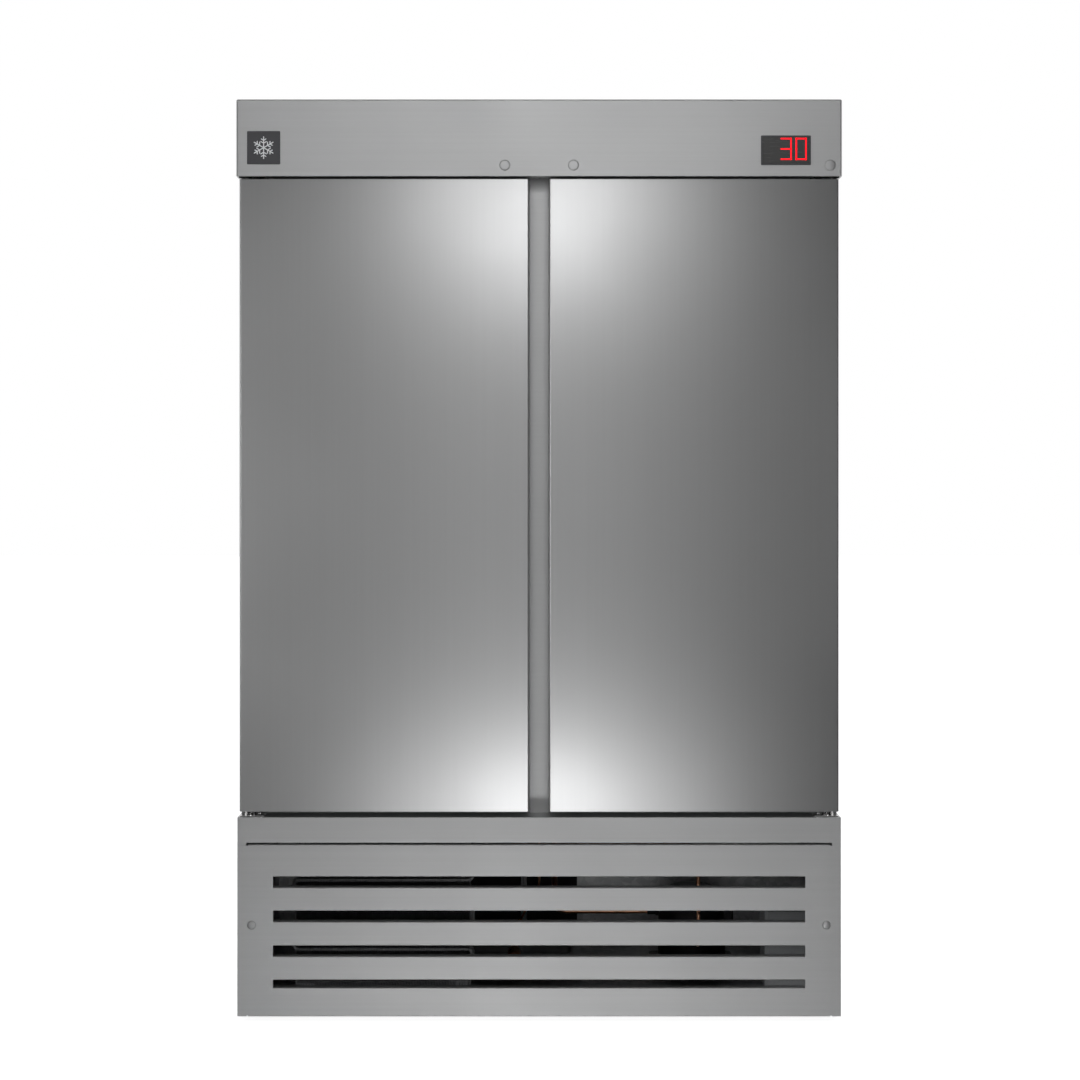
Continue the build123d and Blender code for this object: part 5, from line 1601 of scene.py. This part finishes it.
@dataclass(frozen=True)
class CondensingUnit:
    """The machinery in the base: compressor, fan motor, shroud, box, drier and pan."""

    shell: float = 0.084
    seam: float = 0.070

    def build(self, shop: Workshop) -> None:
        """Makes the condensing unit's pieces."""
        nodes = shop.frame["nodes"]
        for name, node, ease in (
            ("condenser_shroud_sheet", "condenser_shroud", 0.0004),
            ("electrical_box_case", "electrical_box", 0.0010),
            ("evaporation_pan_tray", "evaporation_pan", 0.0006),
            ("compressor_mount_pads", "compressor_mounts", 0.0015),
            ("base_floor_plate", "base_floor", 0.0004),
        ):
            shop.fit(name, Shape().copy_of(nodes[node]).eased(ease), [node])
        self._compressor(shop)
        self._motor(shop)
        self._drier(shop)

    def _compressor(self, shop: Workshop) -> None:
        """Makes the welded pot with its seam, feet, stubs and terminal cover."""
        room = Room.of("compressor")
        mounts = Room.of("compressor_mounts").middle
        x, y = mounts.x, mounts.y
        foot, top = room.low.z, room.high.z
        height = top - foot
        profile = [(self.shell * 0.94, 0.003), (self.shell, 0.012), (self.shell, self.seam - 0.005),
                   (self.shell + 0.002, self.seam - 0.004), (self.shell + 0.002, self.seam + 0.004),
                   (self.shell - 0.0005, self.seam + 0.006), (self.shell - 0.001, height - 0.050)]
        for step in range(1, 9):
            angle = math.pi / 2 * step / 8
            profile.append((
                self.shell - 0.049 + 0.048 * math.cos(angle), height - 0.050 + 0.050 * math.sin(angle),
            ))
        profile.append((0.0, height))
        pot = Shape().turned(profile, (x, y, foot), (0, 0, 1), 56)
        plate = room.low.z
        pot.stepped(
            [(0.206, 0.156, 0.016, plate), (0.206, 0.156, 0.016, plate + 0.0022),
             (0.205, 0.155, 0.0155, plate + 0.003)],
            Along.Z, (x, y))
        stubs = (((x - 0.07, y, 0.150), (-1, 0, 0), 0.009), ((x, y - 0.07, 0.110), (0, -1, 0), 0.007))
        for point, axis, radius in stubs:
            stub = ((radius + 0.003, 0.0), (radius + 0.003, 0.018), (radius, 0.021), (radius, 0.040))
            pot.turned(stub, point, axis, 24)
        pot.stepped(
            [(0.055, 0.050, 0.008, x + self.shell - 0.006), (0.055, 0.050, 0.008, x + self.shell + 0.014),
             (0.048, 0.043, 0.006, x + self.shell + 0.018)],
            Along.X, (y, foot + 0.115))
        shop.fit("compressor_pot", pot, ["compressor"])

    def _motor(self, shop: Workshop) -> None:
        """Makes the condenser fan's motor and its strap."""
        room = Room.of("condenser_fan_motor")
        fan = Room.of("condenser_fan").middle
        front = room.high.y - 0.068
        profile = [(0.006, 0.0), (0.018, 0.0), (0.020, 0.004), (0.037, 0.006), (0.040, 0.010)]
        for index in range(6):
            level = 0.016 + index * 0.007
            profile.extend((
                (0.040, level), (0.0385, level + 0.001), (0.0385, level + 0.0025), (0.040, level + 0.0035),
            ))
        profile.extend(((0.040, 0.061), (0.034, 0.067), (0.0, 0.068)))
        motor = Shape().turned(profile, (fan.x, front, fan.z), (0, 1, 0), 40)
        strap_y = front + 0.0195
        foot, top = room.low.z + 0.0015, room.high.z - 0.0015
        strap = bent(((room.low.y, foot), (strap_y, foot), (strap_y, top), (room.low.y, top)), 0.008)
        motor.prism(thick(strap, 0.003), Along.X, fan.x - 0.012, fan.x + 0.012)
        shop.fit("condenser_motor", motor, ["condenser_fan_motor"])

    def _drier(self, shop: Workshop) -> None:
        """Makes the spun copper drier."""
        room = Room.of("filter_drier")
        length = room.size.y
        profile = [(0.005, 0.0), (0.005, 0.010), (0.0065, 0.012)]
        for step in range(1, 7):
            angle = math.pi / 2 * step / 6
            profile.append((0.0065 + 0.0095 * math.sin(angle), 0.012 + 0.012 * (1 - math.cos(angle))))
        profile.extend((r, length - h) for r, h in profile[::-1])
        drier = Shape().turned(profile, (room.middle.x, room.low.y, room.middle.z), (0, 1, 0), 32)
        shop.fit("filter_drier_shell", drier, ["filter_drier"])


@dataclass(frozen=True)
class Undercarriage:
    """The levelling feet, the rear grille and the cord gland."""

    stud: float = 0.006
    thread_pitch: float = 0.00175
    screen: float = 0.003
    screen_width: float = 0.78

    def build(self, shop: Workshop) -> None:
        """Makes the feet, grille and gland."""
        self._feet(shop)
        grille = Shape().copy_of(shop.frame["nodes"]["rear_grille"]).eased(0.0003, 1)
        shop.fit("rear_grille_sheet", grille, ["rear_grille"])
        self._screen(shop)
        self._gland(shop)
        self._rear_screws(shop)

    def _screen(self, shop: Workshop) -> None:
        """Makes the dark dust screen that closes the grille's vents from inside."""
        grille = Room.of("rear_grille")
        inside = grille.high.y - SHEET - 0.0005
        screen = Shape().block(
            (grille.low.x + 0.06, inside - self.screen, grille.low.z + 0.045),
            (grille.low.x + self.screen_width, inside, grille.high.z - 0.03),
            0.004,
            Along.Y,
        )
        shop.fit("rear_dust_screen", screen.eased(0.0003, 1), slot="rubber_black", body="cabinet")

    def _feet(self, shop: Workshop) -> None:
        """Makes four screw feet with a moulded pad, a hexagon and a threaded stud."""
        room = Room.of("levelling_feet")
        pad = 0.022
        feet = Shape()
        for x in (room.low.x + pad, room.high.x - pad):
            for y in (room.low.y + pad, room.high.y - pad):
                feet.turned(
                    ((pad - 0.001, 0.0), (pad, 0.001), (pad, 0.004), (pad - 0.003, 0.0065), (0.013, 0.007),
                     (0.0, 0.007)),
                    (x, y, 0.0), (0, 0, 1), 40)
                feet.turned(
                    ((0.0105, 0.0), (0.0118, 0.0008), (0.0118, 0.0062), (0.0105, 0.007)),
                    (x, y, 0.007), (0, 0, 1), 6)
                thread = [(self.stud - 0.0008, 0.0)]
                level = 0.0004
                while level < 0.025:
                    thread.extend(((self.stud, level), (self.stud - 0.0009, level + self.thread_pitch / 2)))
                    level += self.thread_pitch
                thread.append((self.stud - 0.0012, 0.026))
                feet.turned(thread, (x, y, 0.014), (0, 0, 1), 20)
        shop.fit("levelling_screw_feet", feet, ["levelling_feet"])

    def _gland(self, shop: Workshop) -> None:
        """Makes the gland: flange, nut and an open bore."""
        room = Room.of("cord_gland")
        length = room.size.y
        profile = (
            (0.005, 0.0), (0.010, 0.0), (0.010, 0.0115), (0.0148, 0.0118), (0.015, 0.0125), (0.015, 0.0155),
            (0.0142, 0.016), (0.0112, 0.016), (0.0100, length - 0.001), (0.0092, length), (0.0058, length),
            (0.005, length - 0.0008),
        )
        foot = (room.middle.x, room.low.y, room.middle.z)
        gland = Shape().turned([*profile, profile[0]], foot, (0, 1, 0), 32, (False, False))
        bmesh.ops.remove_doubles(gland.bm, verts=gland.bm.verts[:], dist=1e-6)
        shop.fit("cord_gland_bush", gland, ["cord_gland"])

    def _rear_screws(self, shop: Workshop) -> None:
        """Makes the rows of small screws that hold the rear skin and the grille."""
        skin = Room.of("rear_skin")
        grille = Room.of("rear_grille")
        head = (
            (0.0050, 0.0), (0.0050, 0.0008), (0.0044, 0.0018), (0.0030, 0.0026), (0.0010, 0.0029),
            (0.0, 0.0029),
        )
        rows = (
            (skin.low.x + 0.014, skin.low.z + 0.014, skin.high.y, (1, 0), 8, skin.size.x - 0.028),
            (skin.low.x + 0.014, skin.high.z - 0.014, skin.high.y, (1, 0), 8, skin.size.x - 0.028),
            (skin.low.x + 0.014, skin.low.z + 0.200, skin.high.y, (0, 1), 6, skin.size.z - 0.400),
            (skin.high.x - 0.014, skin.low.z + 0.200, skin.high.y, (0, 1), 6, skin.size.z - 0.400),
            (grille.low.x + 0.014, grille.low.z + 0.012, grille.high.y, (1, 0), 6, grille.size.x - 0.028),
        )
        for index, (x, z, y, way, count, length) in enumerate(rows):
            screw = Shape().turned(head, (0.0, -0.0003, 0.0), (0, 1, 0), 16)
            step = length / (count - 1)
            row = Row(count, (x, y, z), (way[0] * step, 0.0, way[1] * step))
            name = f"rear_screws_{index + 1}"
            shop.fit(name, row.lay(name, screw, shop.finishes["cap_metal"]), slot="cap_metal", body="cabinet")


# ---------------------------------------------------------------- studio


class Lights(Enum):
    """What a lamp of the studio lights."""

    DOORS = "doors"
    CABINET = "cabinet"
    MACHINERY = "machinery"


@dataclass(frozen=True)
class SoftBox:
    """One soft lamp of the studio, kept to one group of pieces."""

    name: str
    lights: Lights
    place: tuple[float, float, float]
    aim: tuple[float, float, float]
    size: tuple[float, float]
    power: float

    def build(self, receivers: bpy.types.Collection) -> None:
        """Makes the lamp, out of the camera's sight.

        Args:
            receivers: the pieces that it lights.
        """
        data = bpy.data.lights.new(self.name, "AREA")
        data.shape = "ELLIPSE"
        data.size, data.size_y = self.size
        data.energy = self.power
        lamp = bpy.data.objects.new(self.name, data)
        bpy.context.scene.collection.objects.link(lamp)
        lamp.location = self.place
        direction = Vector(self.aim) - Vector(self.place)
        lamp.rotation_euler = direction.to_track_quat("-Z", "Y").to_euler()
        lamp.visible_camera = False
        lamp.light_linking.receiver_collection = receivers


@dataclass(frozen=True)
class Studio:
    """A white room: pale floor, soft lamps, even surroundings and the camera."""

    door_bodies: tuple[str, ...] = ("door_left", "door_right")
    eye: tuple[float, float, float] = (0.002, -5.402, 1.225)
    lens: float = 73.74
    shift: float = -0.0556
    lamps: tuple[SoftBox, ...] = (
        SoftBox(
            "door_lamp_top", Lights.DOORS,
            (0.0, -2.594, 2.168), (0.0, -0.39, 1.88), (0.9, 0.5), 2.16,
        ),
        SoftBox(
            "door_lamp_top_core", Lights.DOORS,
            (0.0, -1.694, 1.950), (0.0, -0.39, 1.80), (0.35, 0.2), 0.40,
        ),
        SoftBox(
            "door_lamp_low", Lights.DOORS,
            (0.0, -2.594, 0.066), (0.0, -0.39, 0.42), (1.2, 0.6), 2.39,
        ),
        SoftBox(
            "door_lamp_low_wide", Lights.DOORS,
            (0.0, -1.294, 0.299), (0.0, -0.39, 0.44), (0.9, 0.3), 0.20,
        ),
        SoftBox(
            "door_lamp_low_core", Lights.DOORS,
            (0.0, -1.294, 0.370), (0.0, -0.39, 0.50), (0.35, 0.2), 0.34,
        ),
        SoftBox(
            "door_lamp_tall", Lights.DOORS,
            (0.0, -7.6, 1.3), (0.0, -0.39, 1.2), (1.2, 4.5), 13.3,
        ),
        SoftBox(
            "door_lamp_left", Lights.DOORS,
            (-3.4, -6.0, 1.25), (-0.6, -0.39, 1.2), (1.6, 3.0), 46.0,
        ),
        SoftBox(
            "door_lamp_right", Lights.DOORS,
            (2.4, -6.0, 1.25), (0.6, -0.39, 1.2), (1.2, 1.8), 2.9,
        ),
        SoftBox(
            "cabinet_lamp_top", Lights.CABINET,
            (0.0, -2.394, 2.590), (0.0, -0.39, 2.20), (1.2, 0.4), 6.2,
        ),
        SoftBox(
            "cabinet_lamp_wide", Lights.CABINET,
            (0.0, -2.394, 2.380), (0.0, -0.39, 2.05), (2.0, 0.6), 4.8,
        ),
        SoftBox(
            "cabinet_lamp_far", Lights.CABINET,
            (0.0, -4.394, 2.800), (0.0, -0.39, 2.10), (1.6, 0.6), 2.4,
        ),
        SoftBox(
            "cabinet_lamp_low", Lights.CABINET,
            (0.0, -2.394, -0.490), (0.0, -0.39, 0.0), (1.2, 0.4), 11.2,
        ),
        SoftBox(
            "cabinet_lamp_front", Lights.CABINET,
            (0.0, -7.6, 1.8), (0.0, -0.39, 1.2), (3.0, 3.0), 40.0,
        ),
        SoftBox(
            "cabinet_lamp_left", Lights.CABINET,
            (-2.4, -4.0, 1.25), (-0.6, -0.39, 1.2), (1.2, 2.4), 2.7,
        ),
        SoftBox(
            "machinery_lamp", Lights.MACHINERY,
            (0.0, -4.5, 0.9), (0.0, -0.2, 0.25), (1.5, 1.0), 3.0,
        ),
    )
    surround: float = 0.95
    behind: tuple[float, float] = (-0.45, 0.15)
    # painted shade: the floor's glow near the cabinet, below the full 1.0 far off
    floor_glow_painted_shade: float = 0.90
    front_zone: float = 0.03
    floor_reach: float = 30.0

    def build(self, shop: "Workshop") -> None:
        """Makes the whole studio.

        Args:
            shop: the workshop that fitted the pieces.
        """
        self._world()
        groups = {lights: bpy.data.collections.new(lights.value) for lights in Lights}
        for piece in (item for item in bpy.context.scene.objects if item.type == "MESH"):
            groups[self._lit_with(piece, shop)].objects.link(piece)
        self._floor()
        for lamp in self.lamps:
            lamp.build(groups[lamp.lights])
        data = bpy.data.cameras.new("camera")
        data.lens = self.lens
        data.sensor_width = 36.0
        data.shift_y = self.shift
        data.clip_start = 0.05
        camera = bpy.data.objects.new("camera", data)
        bpy.context.scene.collection.objects.link(camera)
        camera.location = self.eye
        camera.rotation_euler = (math.pi / 2, 0.0, 0.0)
        bpy.context.scene.camera = camera
        bpy.context.scene.view_settings.view_transform = "Standard"

    def _lit_with(self, piece: bpy.types.Object, shop: "Workshop") -> Lights:
        """Returns which lamps light a piece; the machinery and the shaded upper pivots get little.

        Args:
            piece: a piece of the refrigerator.
            shop: the workshop that fitted the pieces.
        """
        if (piece.get("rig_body") or shop.body_of.get(piece.name)) in self.door_bodies:
            return Lights.DOORS
        corners = [Vector(corner) for corner in piece.bound_box]
        under = max(corner.z for corner in corners) < Room.of("sill_rail").high.z
        behind = min(corner.y for corner in corners) > Room.of("grille_panel").low.y + self.front_zone
        shaded = piece.name == "hinge_pivots_top" or (under and behind)
        return Lights.MACHINERY if shaded else Lights.CABINET

    def _world(self) -> None:
        """Makes surroundings that are bright beside and behind the cabinet, and plain white to the camera."""
        world = bpy.data.worlds.new("surroundings")
        bpy.context.scene.world = world
        mix = Palette.of_world(world)
        toward = mix.node("ShaderNodeSeparateXYZ", {0: mix.place}).outputs["Y"]
        soft = mix.node("ShaderNodeBackground", {
            "Color": (1.0, 1.0, 1.0, 1.0),
            "Strength": mix.between(toward, 0.0, self.surround, *self.behind),
        })
        white = mix.node("ShaderNodeBackground", {"Color": (1.0, 1.0, 1.0, 1.0), "Strength": 1.0})
        ray = mix.node("ShaderNodeLightPath", {}).outputs["Is Camera Ray"]
        seen = mix.node("ShaderNodeMixShader", {0: ray, 1: soft.outputs[0], 2: white.outputs[0]})
        mix.node("ShaderNodeOutputWorld", {"Surface": seen.outputs[0]})

    def _floor(self) -> None:
        """Makes the pale floor, which casts no shadow, so the low lamp under it reaches the cabinet. Its glow
        is weaker near the cabinet than far off: painted shade round the cabinet's foot, on top of the real
        contact shadow.
        """
        mix = Palette("pale_floor")
        mottle = mix.cloud(0.8, 2.0)
        distance = mix.node("ShaderNodeVectorMath", {0: mix.place}, operation="LENGTH").outputs["Value"]
        mix.feed(
            Base_Color=mix.tinted(mottle, grey(0.50), grey(0.52)),
            Emission_Color=(1.0, 1.0, 1.0, 1.0),
            # painted shade: the glow falls from 1.0 far off to less near the cabinet
            Emission_Strength=mix.between(distance, self.floor_glow_painted_shade, 1.0, 0.9, 3.5),
            Roughness=0.9,
        )
        shape = Shape()
        far = self.floor_reach
        corners = ((-far, -far), (far, -far), (far, far), (-far, far))
        shape.loft([[Vector((x, y, 0.0)) for x, y in corners]], (False, True))
        mesh = bpy.data.meshes.new("floor")
        shape.bm.to_mesh(mesh)
        shape.bm.free()
        mesh.materials.append(mix.material)
        floor = bpy.data.objects.new("floor", mesh)
        bpy.context.scene.collection.objects.link(floor)
        floor.visible_glossy = False
        floor.visible_shadow = False


def main() -> None:
    """Builds every sub-assembly in order."""
    logging.basicConfig(level=logging.INFO, format="%(name)s %(message)s")
    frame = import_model()
    shop = Workshop(frame)
    assemblies = [
        HeaderBox(),
        Emblem(),
        Display(),
        FrontFrame(),
        BasePanel(),
        HingeSet(),
        Door(-1),
        Door(1),
        Storage(),
        Evaporator(),
        FinnedCoil("evaporator_coil", "evaporator_coil", rows=3, fins=150),
        FinnedCoil("condenser_coil", "condenser_coil", rows=6, fins=110),
        Fan("condenser_fan", (0.0, -1.0, 0.0), hub=0.026, blades=5, shaft=0.003),
        Fan("evaporator_fan_left", (0.0, 0.0, -1.0), hub=0.018, blades=5, shaft=0.003),
        Fan("evaporator_fan_right", (0.0, 0.0, -1.0), hub=0.018, blades=5, shaft=0.003),
        CondensingUnit(),
        Undercarriage(),
    ]
    for assembly in assemblies:
        LOG.info("building %s", type(assembly).__name__)
        assembly.build(shop)
    Studio().build(shop)


if __name__ == "__main__":
    main()
